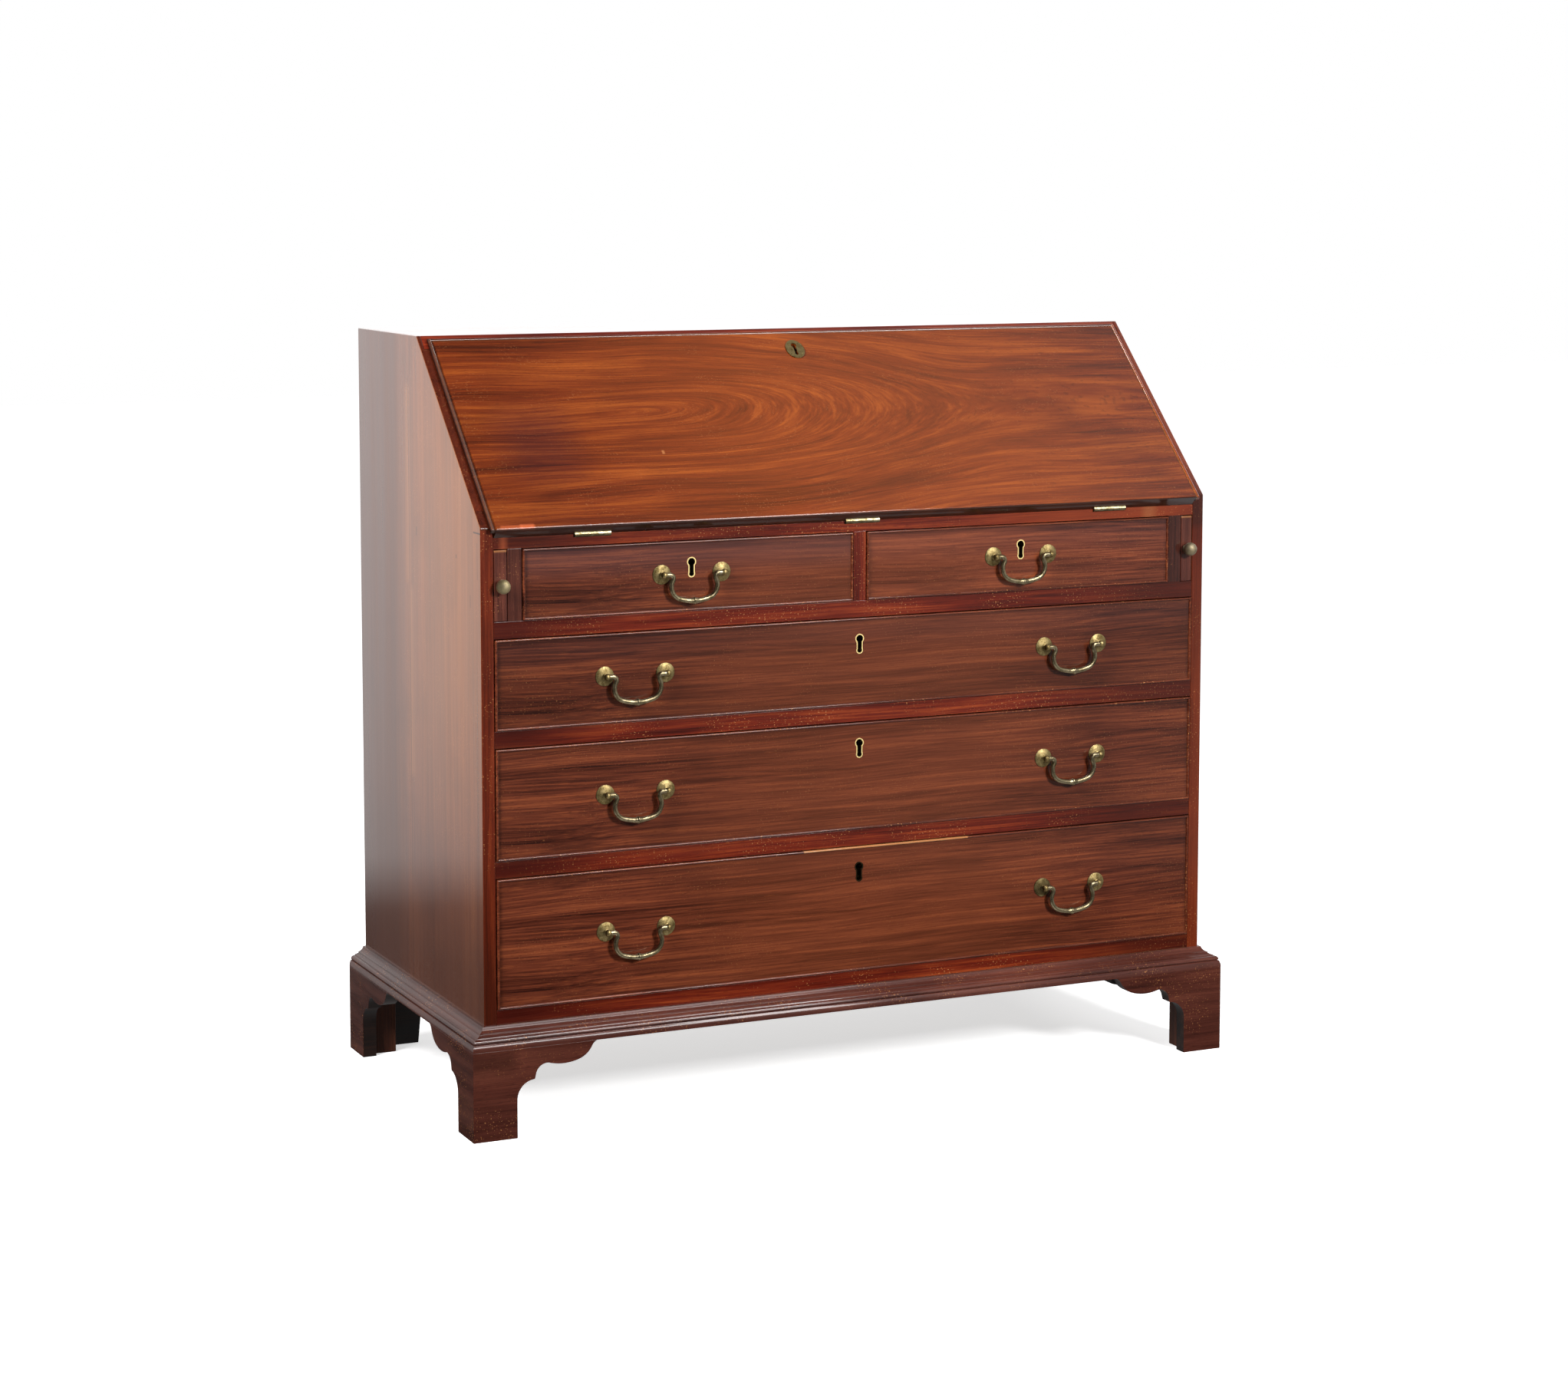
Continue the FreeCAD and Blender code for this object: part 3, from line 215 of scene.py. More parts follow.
def add_node(tree, kind, inputs=None, out=0, stops=(), **settings):
    """Add a node with its settings, set or link its inputs, and give back one of its outputs."""
    node = tree.nodes.new("ShaderNode" + kind)
    for name, value in settings.items():
        setattr(node, name, value)
    for name, value in (inputs or {}).items():
        socket = node.inputs[name]
        if isinstance(value, bpy.types.NodeSocket):
            tree.links.new(value, socket)
        else:
            socket.default_value = (*value[:3], 1.0) if socket.type == "RGBA" else value
    for place, tint in stops:
        ramp = node.color_ramp.elements
        stop = ramp[0] if place == 0.0 else ramp[-1] if place == 1.0 else ramp.new(place)
        stop.color = (*tint[:3], 1.0)
    return node.outputs[out] if node.outputs else node


def new_material(name):
    """A material with an empty tree."""
    material = bpy.data.materials.new(name)
    material.use_nodes = True
    material.node_tree.nodes.clear()
    return material, material.node_tree


class Mark(NamedTuple):
    """One spot of another colour in a surface."""

    low: tuple  # the corners of the box that it fills
    high: tuple
    soft: float  # how far its border fades
    shade: tuple
    amount: float  # how much of it shows


class Specks(NamedTuple):
    """Specks in a surface."""

    size: tuple  # how long and how wide one is, in millimetres
    start: float  # the noise above which they show
    full: float  # the noise above which they are full


class Crests(NamedTuple):
    """Nested crests in a flat-sawn board, in millimetres."""

    root: float  # where they start and end along the grain
    tip: float
    reach: float  # how far across the grain they reach
    middle: float  # the line that they point along


class Wood(NamedTuple):
    """How one mahogany looks, with its streaks' length and width in millimetres."""

    tones: list  # dark, middle and light
    band: tuple = (600.0, 24.0)
    ribbon: tuple = (260.0, 5.5)
    line: tuple = (120.0, 1.7)
    contrast: float = 1.0
    drift: float = 14.0  # how far the grain wanders
    crests: Crests = None
    flecks: float = 0.3  # how strong the light flecks are
    wear: float = 0.3  # how knocked it is
    gloss: float = 0.30  # how dull the wood is under the polish
    coat: float = 1.0  # how much of the polish is left
    relief: float = 0.12  # how far the pores are felt


def streaks(tree, grain, size, detail=2.0, out=0):
    """Noise drawn out along the grain; size is how long and how wide one streak is, in millimetres."""
    scale = (size[0] * MM, size[1] * MM, size[1] * MM)
    stretched = add_node(tree, "Mapping", {"Vector": grain, "Scale": scale}, vector_type="TEXTURE")
    return add_node(tree, "TexNoise", {
        "Vector": stretched, "Scale": 1.0, "Detail": detail, "Roughness": 0.55}, out)


def patches(tree, grain, specks, most, detail=2.0):
    """Streaks of which only the strongest show: none up to the specks' start, and most where full."""
    noise = streaks(tree, grain, specks.size, detail)
    return add_node(tree, "MapRange", {
        "Value": noise, "From Min": specks.start, "From Max": specks.full, "To Min": 0.0, "To Max": most})


def within(tree, place, low, high, soft, inside=1.0, outside=0.0):
    """One value inside a box and another outside it, with a soft border round it."""
    middle = (Vector(low) + Vector(high)) / 2
    half = (Vector(high) - Vector(low)) / 2
    offset = add_node(tree, "VectorMath", {0: place, 1: middle}, operation="SUBTRACT")
    apart = add_node(tree, "VectorMath", {0: offset}, operation="ABSOLUTE")
    beyond = add_node(tree, "VectorMath", {0: apart, 1: half}, operation="SUBTRACT")
    clear = add_node(tree, "VectorMath", {0: beyond, 1: (0.0, 0.0, 0.0)}, operation="MAXIMUM")
    distance = add_node(tree, "VectorMath", {0: clear}, "Value", operation="LENGTH")
    return add_node(tree, "MapRange", {
        "Value": distance, "From Min": 0.0, "From Max": soft, "To Min": inside, "To Max": outside})


# What every mahogany shows, with lengths and widths in millimetres. Real pores and knocks are finer than
# this, and are drawn this coarse so that they show.
WANDER = (420.0, 90.0)
PORES = Specks((10.0, 1.1), 0.58, 0.72)
FLECKS = Specks((60.0, 1.9), 0.60, 0.74)
CLOUDS = Specks((170.0, 110.0), 0.50, 0.74)
KNOCKS = Specks((2.8, 2.1), 0.64, 0.71)
KNOCKED_ZONES = Specks((70.0, 45.0), 0.48, 0.60)
BORDER_DIRT = (34.0, 20.0)
BORDER = 9.0

# How much of the pores and of the cloudy patches shows
PORE_SHARE = 0.4
CLOUD_SHARE = 0.4

# What the bands, ribbons and lines each add to the tone, and how far it spreads about its middle
BAND_WEIGHT = 0.75
RIBBON_WEIGHT = 0.75
LINE_WEIGHT = 0.50
TONE_MIDDLE = 1.0
TONE_SPREAD = 0.34

# How much one flank of a crest differs from the other
CREST_LEAN = 0.12


def crested(tree, flow, crests):
    """Bend straight grain into nested crests: across-grain distance becomes distance from the middle line,
    lengthened along the crests so that each line closes round the one inside it."""
    along = add_node(tree, "SeparateXYZ", {"Vector": flow}, "X")
    reach = add_node(tree, "MapRange", {
        "Value": along, "From Min": crests.root * MM, "From Max": crests.tip * MM,
        "To Min": 0.0, "To Max": crests.reach * MM}, interpolation_type="SMOOTHSTEP")
    across = along.node.outputs["Y"]
    off = add_node(tree, "Math", {0: across, 1: crests.middle * MM}, operation="SUBTRACT")
    corner = add_node(tree, "CombineXYZ", {"X": reach, "Y": off})
    ring = add_node(tree, "VectorMath", {0: corner}, "Value", operation="LENGTH")
    lean = add_node(tree, "Math", {0: off, 1: CREST_LEAN}, operation="MULTIPLY")
    return add_node(tree, "CombineXYZ", {"X": along, "Y": ring, "Z": lean})


def flowing_grain(tree, place, origin, turn, wander, drift):
    """The grain's own directions, first straight and then wandering slowly."""
    grain = add_node(tree, "Mapping", {
        "Vector": place, "Location": origin, "Rotation": turn}, vector_type="TEXTURE")
    waver = streaks(tree, grain, wander, 1.0, "Color")
    sway = (0.0, drift * MM, drift * MM)
    return grain, add_node(tree, "VectorMath", {0: waver, 1: sway, 2: grain}, operation="MULTIPLY_ADD")


def polished_wood(name, turn, wood, origin=(0.0, 0.0, 0.0), edge=None, marks=(), dusty=None):
    """Mahogany under an old French polish: ribbons of dark and light along the grain, fine pores, a deep
    even shine, a darker border where wax gathers, and pale specks where it has been knocked. The polish
    is dull inside the mark given as dusty."""
    material, tree = new_material(name)
    finish = bpy.context.scene.bureau_finish
    dark, mid, light = wood.tones
    place = add_node(tree, "TexCoord", out="Object")
    _, flow = flowing_grain(tree, place, origin, turn, WANDER, wood.drift)
    if wood.crests:
        flow = crested(tree, flow, wood.crests)

    # Broad bands, ribbons and fine lines together choose the tone
    band = streaks(tree, flow, wood.band, 2.0)
    ribbon = streaks(tree, flow, wood.ribbon, 3.0)
    line = streaks(tree, flow, wood.line, 2.0)
    tone = 0.0
    for streak, weight in ((band, BAND_WEIGHT), (ribbon, RIBBON_WEIGHT), (line, LINE_WEIGHT)):
        tone = add_node(tree, "Math", {0: streak, 1: weight, 2: tone}, operation="MULTIPLY_ADD")
    spread = TONE_SPREAD / wood.contrast
    tone = add_node(tree, "MapRange", {
        "Value": tone, "From Min": TONE_MIDDLE - spread, "From Max": TONE_MIDDLE + spread})
    tint = add_node(tree, "ValToRGB", {"Fac": tone}, stops=((0.0, dark), (1.0, light), (0.5, mid)))

    # Light flecks, dark pores, and cloudy patches in the polish
    fleck = patches(tree, flow, FLECKS, wood.flecks)
    pore = patches(tree, flow, PORES, PORE_SHARE, 1.0)
    cloud = patches(tree, place, CLOUDS, CLOUD_SHARE)
    layers = [(fleck, light), (pore, dark), (cloud, dark)]

    # Wax and dirt along the border
    if edge:
        rim = within(tree, place, edge[0], edge[1], BORDER * MM, 0.0, 1.0)
        dirt = add_node(tree, "MapRange", {
            "Value": streaks(tree, place, BORDER_DIRT), "From Min": 0.3, "From Max": 0.65,
            "To Min": 0.25, "To Max": 0.9})
        rim = add_node(tree, "Math", {0: rim, 1: dirt}, operation="MULTIPLY")
        layers.append((rim, [channel * 0.5 for channel in dark]))

    # Knocks, and the marks of this piece alone
    zone = patches(tree, place, KNOCKED_ZONES, wood.wear)
    knock = patches(tree, place, KNOCKS, 1.0, 1.0)
    knock = add_node(tree, "Math", {0: knock, 1: zone}, operation="MULTIPLY")
    layers.append((knock, finish.raw_wood_and_highlight))
    for mark in marks:
        layers.append((within(tree, place, mark.low, mark.high, mark.soft, mark.amount), mark.shade))
    for amount, shade in layers:
        tint = add_node(tree, "Mix", {0: amount, 6: tint, 7: shade}, 2, data_type="RGBA")

    # The bands differ a little in shine, and the pores are felt through the polish
    rough = add_node(tree, "MapRange", {
        "Value": band, "From Min": 0.3, "From Max": 0.7,
        "To Min": wood.gloss - 0.05, "To Max": wood.gloss + 0.07})
    relief = add_node(tree, "Math", {0: pore, 1: -1.5, 2: line}, operation="MULTIPLY_ADD")
    bump = add_node(tree, "Bump", {"Height": relief, "Strength": wood.relief, "Distance": 0.3 * MM})
    coat = finish.polish * wood.coat
    if dusty:
        coat = within(tree, place, dusty.low, dusty.high, dusty.soft, coat * (1.0 - dusty.amount), coat)
    shader = add_node(tree, "BsdfPrincipled", {
        "Base Color": tint, "Roughness": rough, "Normal": bump, "Specular IOR Level": 0.12,
        "Coat Weight": coat, "Coat Roughness": 0.06})
    add_node(tree, "OutputMaterial", {"Surface": shader})
    return material


# What dry oak and pine show, with lengths and widths in millimetres
DRY_WANDER = (500.0, 80.0)
DRY_DRIFT = 20.0
DRY_BAND = (700.0, 14.0)
DRY_LINE = (160.0, 2.2)
RAY_FLECKS = Specks((12.0, 2.4), 0.62, 0.74)
SOOT = Specks((220.0, 160.0), 0.5, 0.8)
SOOT_SHARE = 0.5


def bare_wood(name, turn, tones, rays=0.0):
    """Dry unpolished oak or pine: straight coarse grain, no shine, and in oak a fleck of rays."""
    material, tree = new_material(name)
    dark, mid, light = tones
    place = add_node(tree, "TexCoord", out="Object")
    grain, flow = flowing_grain(tree, place, (0.0, 0.0, 0.0), turn, DRY_WANDER, DRY_DRIFT)
    band = streaks(tree, flow, DRY_BAND)
    line = streaks(tree, flow, DRY_LINE)
    tone = add_node(tree, "Math", {0: line, 1: 0.6, 2: band}, operation="MULTIPLY_ADD")
    tone = add_node(tree, "MapRange", {"Value": tone, "From Min": 0.55, "From Max": 1.05})
    tint = add_node(tree, "ValToRGB", {"Fac": tone}, stops=((0.0, dark), (1.0, light), (0.5, mid)))
    ray = patches(tree, grain, RAY_FLECKS, rays, 1.0)
    soot = patches(tree, place, SOOT, SOOT_SHARE, 3.0)
    for amount, shade in ((ray, light), (soot, dark)):
        tint = add_node(tree, "Mix", {0: amount, 6: tint, 7: shade}, 2, data_type="RGBA")
    bump = add_node(tree, "Bump", {"Height": line, "Strength": 0.25, "Distance": 0.4 * MM})
    shader = add_node(tree, "BsdfPrincipled", {"Base Color": tint, "Roughness": 0.72, "Normal": bump})
    add_node(tree, "OutputMaterial", {"Surface": shader})
    return material


# Sizes of the tarnish on the brass, in millimetres, and how rough a blackened spot is
TARNISH = (7.0, 7.0)
PITTING = (1.6, 1.6)
SPOT_ROUGHNESS = 0.62


def cast_brass(name, bright, dull, spots=(), wood_face=None, smooth=0.30):
    """Old cast brass: pale and satin where fingers rub it, olive where it has tarnished, and dark against
    the wood, partly where polish gathers and partly as painted shade where brass meets the wood."""
    material, tree = new_material(name)
    finish = bpy.context.scene.bureau_finish
    place = add_node(tree, "TexCoord", out="Object")
    cloud = streaks(tree, place, TARNISH, 3.0)
    pits = streaks(tree, place, PITTING, 2.0)
    age = add_node(tree, "Math", {0: pits, 1: 0.5, 2: cloud}, operation="MULTIPLY_ADD")
    worn = add_node(tree, "MapRange", {"Value": age, "From Min": 0.62, "From Max": 0.95})
    tint = add_node(tree, "Mix", {0: worn, 6: bright, 7: dull}, 2, data_type="RGBA")
    if wood_face is not None:
        # Darker within 1.5 mm of the wood's face: partly old polish, partly painted shade where the brass
        # meets the wood
        depth = add_node(tree, "SeparateXYZ", {"Vector": place}, "Y")
        sunk_dirt_and_shade = add_node(tree, "MapRange", {
            "Value": depth, "From Min": wood_face - 1.5 * MM, "From Max": wood_face - 0.2 * MM,
            "To Max": 0.7})
        tint = add_node(tree, "Mix", {0: sunk_dirt_and_shade, 6: tint, 7: finish.brass_black}, 2, data_type="RGBA")
    rough = add_node(tree, "MapRange", {
        "Value": age, "From Min": 0.55, "From Max": 1.0, "To Min": smooth, "To Max": smooth + 0.18})
    for spot in spots:
        inside = within(tree, place, spot.low, spot.high, spot.soft, spot.amount)
        tint = add_node(tree, "Mix", {0: inside, 6: tint, 7: spot.shade}, 2, data_type="RGBA")
        rough = add_node(tree, "Mix", {0: inside, 2: rough, 3: SPOT_ROUGHNESS}, data_type="FLOAT")
    bump = add_node(tree, "Bump", {"Height": age, "Strength": 0.15, "Distance": 0.25 * MM})
    shader = add_node(tree, "BsdfPrincipled", {
        "Base Color": tint, "Roughness": rough, "Normal": bump, "Metallic": 1.0})
    add_node(tree, "OutputMaterial", {"Surface": shader})
    return material


def solids_of(mesh):
    """The faces of each closed solid in turn: a solid is whole when every edge has met its opposite."""
    places = [tuple(round(part / MM, 3) for part in vertex.co) for vertex in mesh.vertices]
    open_edges = set()
    faces = set()
    for face in mesh.polygons:
        faces.add(face.index)
        corners = [places[i] for i in face.vertices]
        for start, end in zip(corners, corners[1:] + corners[:1]):
            if (end, start) in open_edges:
                open_edges.discard((end, start))
            else:
                open_edges.add((start, end))
        if not open_edges:
            yield faces
            faces = set()
    if faces:
        yield faces


# Corners closer together than DOUBLE are one corner, and faces that bend less than FLAT are one face. Edges
# that bend more than SHARP are rounded, and the shading breaks over those that bend more than CREASED.
DOUBLE = 0.004 * MM
FLAT = math.radians(0.4)
SHARP = math.radians(38)
CREASED = math.radians(34)
ARRIS_SEGMENTS = 3


def soften(mesh, faces, arris):
    """One solid as a bmesh with its flat faces whole and its sharp edges rounded."""
    solid = bmesh.new()
    solid.from_mesh(mesh)
    others = [face for face in solid.faces if face.index not in faces]
    bmesh.ops.delete(solid, geom=others, context="FACES")
    bmesh.ops.remove_doubles(solid, verts=solid.verts, dist=DOUBLE)
    bmesh.ops.dissolve_limit(solid, angle_limit=FLAT, verts=solid.verts, edges=solid.edges)
    sharp = [edge for edge in solid.edges
             if len(edge.link_faces) == 2 and edge.calc_face_angle_signed(0.0) > SHARP]
    bmesh.ops.bevel(solid, geom=sharp, offset=arris, offset_type="OFFSET", segments=ARRIS_SEGMENTS,
                    profile=0.5, affect="EDGES", clamp_overlap=True, material=-1)
    return solid


# How many solids of a node have faces that are told apart by their direction, and how squarely a face
# has to look that way
FACED_SOLIDS = 2
SQUARELY = 0.5


def dress(node, woods, arris, facing=None):
    """Replace a node by the same solids with softened edges; woods holds one material for each solid,
    and its last one does for the rest. Where facing is given, faces of the first solids that look that
    way take the last one."""
    source = frame["nodes"][node].data
    mesh = bpy.data.meshes.new(node + "_dressed")
    whole = bmesh.new()
    for number, faces in enumerate(solids_of(source)):
        solid = soften(source, faces, arris)
        for face in solid.faces:
            turned = facing and number < FACED_SOLIDS and face.normal.dot(facing) > SQUARELY
            face.material_index = len(woods) - 1 if turned else min(number, len(woods) - 1)
            face.smooth = True
        piece = bpy.data.meshes.new("solid")
        solid.to_mesh(piece)
        solid.free()
        whole.from_mesh(piece)
        bpy.data.meshes.remove(piece)
    whole.to_mesh(mesh)
    whole.free()
    mesh.set_sharp_from_angle(angle=CREASED)
    for wood in woods:
        mesh.materials.append(wood)
    piece = bpy.data.objects.new(node + "_dressed", mesh)
    bpy.context.scene.collection.objects.link(piece)
    normals = piece.modifiers.new("flat faces stay flat", "WEIGHTED_NORMAL")
    normals.keep_sharp = True
    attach(piece, body_of[node])
    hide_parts(node)
    return piece


def finish_node(node, material):
    """Give a node that keeps its own shape its finish."""
    mesh = frame["nodes"][node].data
    mesh.materials.clear()
    mesh.materials.append(material)


def tones(kind, lift=1.0):
    """The dark, middle and light of one wood, lifted where a board is paler than the rest."""
    finish = bpy.context.scene.bureau_finish
    shades = [getattr(finish, kind + "_" + shade) for shade in TONES]
    return [tuple(part * lift for part in shade) for shade in shades]


# Worn and dark places along the front edge of the writing bed: where each starts and ends across and how
# far it fades, in millimetres, its colour, and how much of it shows
BED_MARKS = (
    (-530.0, -470.0, 120.0, "stile_dark", 0.6),
    (300.0, 480.0, 160.0, "rail_light", 0.5),
    (-524.0, -522.0, 7.0, "chipped", 0.3),
    (460.0, 468.0, 12.0, "raw_wood_and_highlight", 0.25),
)
BED_EDGE = 5.0

# Dark and rubbed places on the front edges of the sides: on which, from what height to what height and
# how far each fades, in millimetres, its colour, and how much of it shows
STILE_MARKS = (
    ("left", 0.0, 200.0, 150.0, "stile_dark", 0.55),
    ("left", 850.0, 1057.0, 20.0, "stile_dark", 0.65),
    ("right", 150.0, 550.0, 200.0, "rail_light", 0.25),
    ("right", 860.0, 1020.0, 40.0, "rail_light", 0.5),
    ("right", 775.0, 815.0, 10.0, "stile_dark", 0.7),
    ("left", 814.0, 836.0, 2.0, "grime_and_shade", 0.55),
)
STILE_INNER = 530.0

# Paler streaks beside the joint of the sides' two boards: from how far behind it to how far, and from what
# height to what height, in millimetres
RUBBED_STREAKS = (
    (4.0, 6.0, 720.0, 980.0),
    (-8.0, -5.0, 450.0, 700.0),
)

# Small dark scars on the left side: how far back and how high, half their depth and height, in
# millimetres, and how much they show
SIDE_SCARS = (
    (16.5, 788.0, (0.5, 6.0), 0.7),
    (-203.0, 715.0, (0.5, 8.0), 0.45),
    (-148.5, 769.5, (2.0, 2.0), 0.35),
    (-231.0, 771.0, (0.5, 24.0), 0.5),
    (-232.0, 808.5, (15.0, 0.5), 0.8),
)


class BUREAU_OT_carcase(bpy.types.Operator):
    """Finish the sides, top, rails, dividers, bed and back"""

    bl_idname = "bureau.carcase"
    bl_label = "Carcase"

    def execute(self, context):
        sizes = context.scene.bureau_sizes
        finish = context.scene.bureau_finish
        low, high = cad_box

        # The rails darken towards the stiles, where hands and polish have gathered
        rail_look = Wood(tones("rail"), band=(300.0, 16.0), ribbon=(160.0, 4.0), contrast=1.15, wear=1.0)
        left_end = Mark((low[0], low[1], 0.0), (-0.50, high[1], high[2]), 0.16, finish.rail_dark, 0.75)
        right_end = Mark((0.44, low[1], 0.0), high, 0.20, finish.stile_dark, 0.6)
        level = polished_wood("polished_mahogany_rails", ALONG_X, rail_look, marks=(left_end, right_end))
        top = polished_wood("polished_mahogany_top", ALONG_X, rail_look._replace(wear=0.1, relief=0.015))

        # The bed's front edge is rubbed and chipped
        bed_low, bed_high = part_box("writing_bed")
        bed_marks = []
        for start, end, soft, shade, amount in BED_MARKS:
            first = (start * MM, bed_low.y, bed_low.z)
            last = (end * MM, bed_low.y + BED_EDGE * MM, bed_high.z)
            bed_marks.append(Mark(first, last, soft * MM, getattr(finish, shade), amount))
        bed = polished_wood("polished_mahogany_bed", ALONG_X, rail_look._replace(contrast=1.3, flecks=0.5),
                            marks=bed_marks)

        # The sides' front edges, as the uprights of the front
        stile_look = Wood(tones("stile"), band=(420.0, 14.0), ribbon=(200.0, 4.0), contrast=0.9, wear=0.8)
        stile_marks = []
        for side, foot, head, soft, shade, amount in STILE_MARKS:
            start, end = (low[0], -STILE_INNER * MM) if side == "left" else (STILE_INNER * MM, high[0])
            first = (start, low[1], foot * MM)
            last = (end, high[1], head * MM)
            stile_marks.append(Mark(first, last, soft * MM, getattr(finish, shade), amount))
        upright = polished_wood("polished_mahogany_uprights", ALONG_Z, stile_look, marks=stile_marks)
        divider = polished_wood("polished_mahogany_divider", ALONG_Z, rail_look)
        partition_look = Wood(tones("base", 0.8), wear=0.8)
        partition = polished_wood("polished_mahogany_partitions", ALONG_Z, partition_look)

        # Each side is two boards: the joint shows as a thin line with a paler rubbed streak beside it
        side_look = Wood(tones("side"), band=(900.0, 60.0), ribbon=(500.0, 12.0), contrast=0.8, drift=10.0,
                         flecks=0.1, wear=0.4, gloss=0.30)
        seam = sizes.seam_y
        for node in ("side_left", "side_right"):
            low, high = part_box(node)
            rubbed = []
            for start, end, foot, head in RUBBED_STREAKS:
                first = (low.x, seam + start * MM, foot * MM)
                last = (high.x, seam + end * MM, head * MM)
                rubbed.append(Mark(first, last, 14 * MM, finish.raw_wood_and_highlight, 0.18))
            joint = Mark((low.x, seam - 0.4 * MM, 0.0), (high.x, seam + 0.4 * MM, 1.0), 0.7 * MM,
                         finish.base_dark, 0.7)
            # The upper front of each side is paler: partly bleached, partly painted light from the lamp
            # above on the left
            bleached_and_lit = Mark((low.x, -0.19, 0.60), (high.x, -0.10, 0.86), 0.30, finish.raw_wood_and_highlight, 0.26)
            back_board = Mark((low.x, 0.115, 0.0), high, 65 * MM, finish.side_dark, 0.72)
            # The lower part of each side is darker: partly dirt, partly painted shade where the light falls
            # off towards the floor
            dirty_and_shaded_foot = Mark((low.x, low.y, 0.0), (high.x, high.y, 0.20), 0.22, finish.side_dark, 0.7)
            scars = []
            if node == "side_left":
                for y, z, reach, amount in SIDE_SCARS:
                    middle = Vector((low.x, y * MM, z * MM))
                    corner = Vector((20.0, *reach)) * MM
                    scars.append(Mark(middle - corner, middle + corner, 1 * MM, finish.grime_and_shade, amount))
            wood = polished_wood("polished_mahogany_" + node, ALONG_Z, side_look,
                                 marks=(bleached_and_lit, back_board, dirty_and_shaded_foot, *rubbed, joint, *scars))
            dress(node, [wood, upright], sizes.worn_arris, facing=FORWARD)
        dress("top_board", [top], sizes.worn_arris)
        dress("drawer_rails", [level], sizes.arris)
        dress("writing_bed", [bed], sizes.arris)
        dress("centre_divider", [divider], sizes.arris)
        dress("loper_partitions", [partition], sizes.arris)
        pine = bare_wood("dry_pine_boards", ALONG_Z, tones("pine"))
        pine_level = bare_wood("dry_pine_rails", ALONG_X, tones("pine"))
        oak = bare_wood("dry_oak_boards", ALONG_X, tones("oak"), 0.5)
        dress("back_boards", [pine], sizes.worn_arris)
        dress("base_rails", [pine_level], sizes.arris)
        dress("dustboards", [oak], sizes.arris)
        dress("bottom_board", [oak], sizes.arris)
        return {"FINISHED"}


class BUREAU_OT_base(bpy.types.Operator):
    """Finish the base moulding and the bracket feet"""

    bl_idname = "bureau.base"
    bl_label = "Base moulding and feet"

    def execute(self, context):
        sizes = context.scene.bureau_sizes
        finish = context.scene.bureau_finish
        look = Wood(tones("base"), band=(260.0, 34.0), ribbon=(160.0, 12.0), contrast=0.75, flecks=0.1,
                    wear=0.6, gloss=0.27, coat=0.8, relief=0.03)

        # The moulding's upper edge is dusty, and its left front corner smudged
        low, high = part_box("base_moulding")
        dust = Mark((low.x, low.y, high.z - 10 * MM), high, 1.5 * MM, finish.lip, 0.8)
        smudge = Mark((-0.578, -0.275, 0.103), (-0.530, -0.26, 0.109), 20 * MM, finish.stain_dark, 0.55)
        across = polished_wood("polished_mahogany_base_front", ALONG_X, look, marks=(smudge,), dusty=dust)
        # The side faces of the moulding and feet take a darker copy of the front's wood: painted shade, as
        # little light reaches them
        along = polished_wood("polished_mahogany_base_sides", ALONG_Y,
                              look._replace(tones=tones("base", 0.55), coat=0.2))
        # The blocks are painted paler than the sawn edges, as light bounced up off the floor
        block = bare_wood("stained_pine_blocks", ALONG_Z, tones("stain"))
        sawn = bare_wood("stained_sawn_edges", ALONG_X, tones("sawn"))
        dress("base_moulding", [across, along], 0.5 * sizes.arris)

        # Sawn edges and inner faces were stained dark instead of polished
        for side, inward in (("left", 0.6), ("right", -0.6)):
            dress("foot_front_" + side, [across, along, block, sawn], sizes.worn_arris,
                  facing=Vector((inward, 0.6, -0.53)))
            dress("foot_back_" + side, [along, across, block, sawn], sizes.worn_arris,
                  facing=Vector((inward, -0.6, -0.53)))
        return {"FINISHED"}


# Marks on the fall: how far across and up from the middle of its foot, half their size across, back and
# upwards, and how far they fade, in millimetres, their colour, and how much of it shows. They are a dark
# left end, a pale middle, two chips at the foot, the dark bead along the head and the rubbed line under
# it, a pale speck and an old stain.
FALL_MARKS = (
    (-480.0, 215.0, (60.0, 120.0, 120.0), 340.0, "fall_dark", 0.26),
    (70.0, 180.0, (160.0, 60.0, 60.0), 300.0, "fall_light", 0.28),
    (-514.0, 0.0, (14.0, 2.0, 2.0), 3.0, "chipped", 0.35),
    (-492.0, 0.0, (8.0, 2.0, 2.0), 4.0, "chipped", 0.6),
    (0.0, FALL_RISE + 5.6, (600.0, 2.6, 2.6), 0.8, "fall_dark", 0.7),
    (0.0, FALL_RISE + 2.4, (600.0, 0.9, 0.9), 0.9, "raw_wood_and_highlight", 0.25),
    (-261.0, 122.0, (0.8, 1.5, 1.5), 2.0, "raw_wood_and_highlight", 0.5),
    (-436.0, 146.0, (22.0, 22.0, 22.0), 55.0, "stain", 0.35),
)

# Bands along the fall's moulded ends: on the left a dusty bead, darker along its outer edge and in the
# quirk, and on the right an orange band and a pale line painted as the bead's highlight. From how far in to
# how far, in millimetres, their colour, and how much of it shows
LEFT_BANDS = (
    (1.2, 4.8, "lip", 0.75),
    (-1.0, 0.5, "grime_and_shade", 0.9),
    (5.1, 7.0, "grime_and_shade", 0.55),
)
RIGHT_BANDS = (
    (-1.0, 3.6, "rail_light", 0.5),
    # a pale line painted as the bead's highlight
    (4.0, 5.0, "raw_wood_and_highlight", 0.35),
)


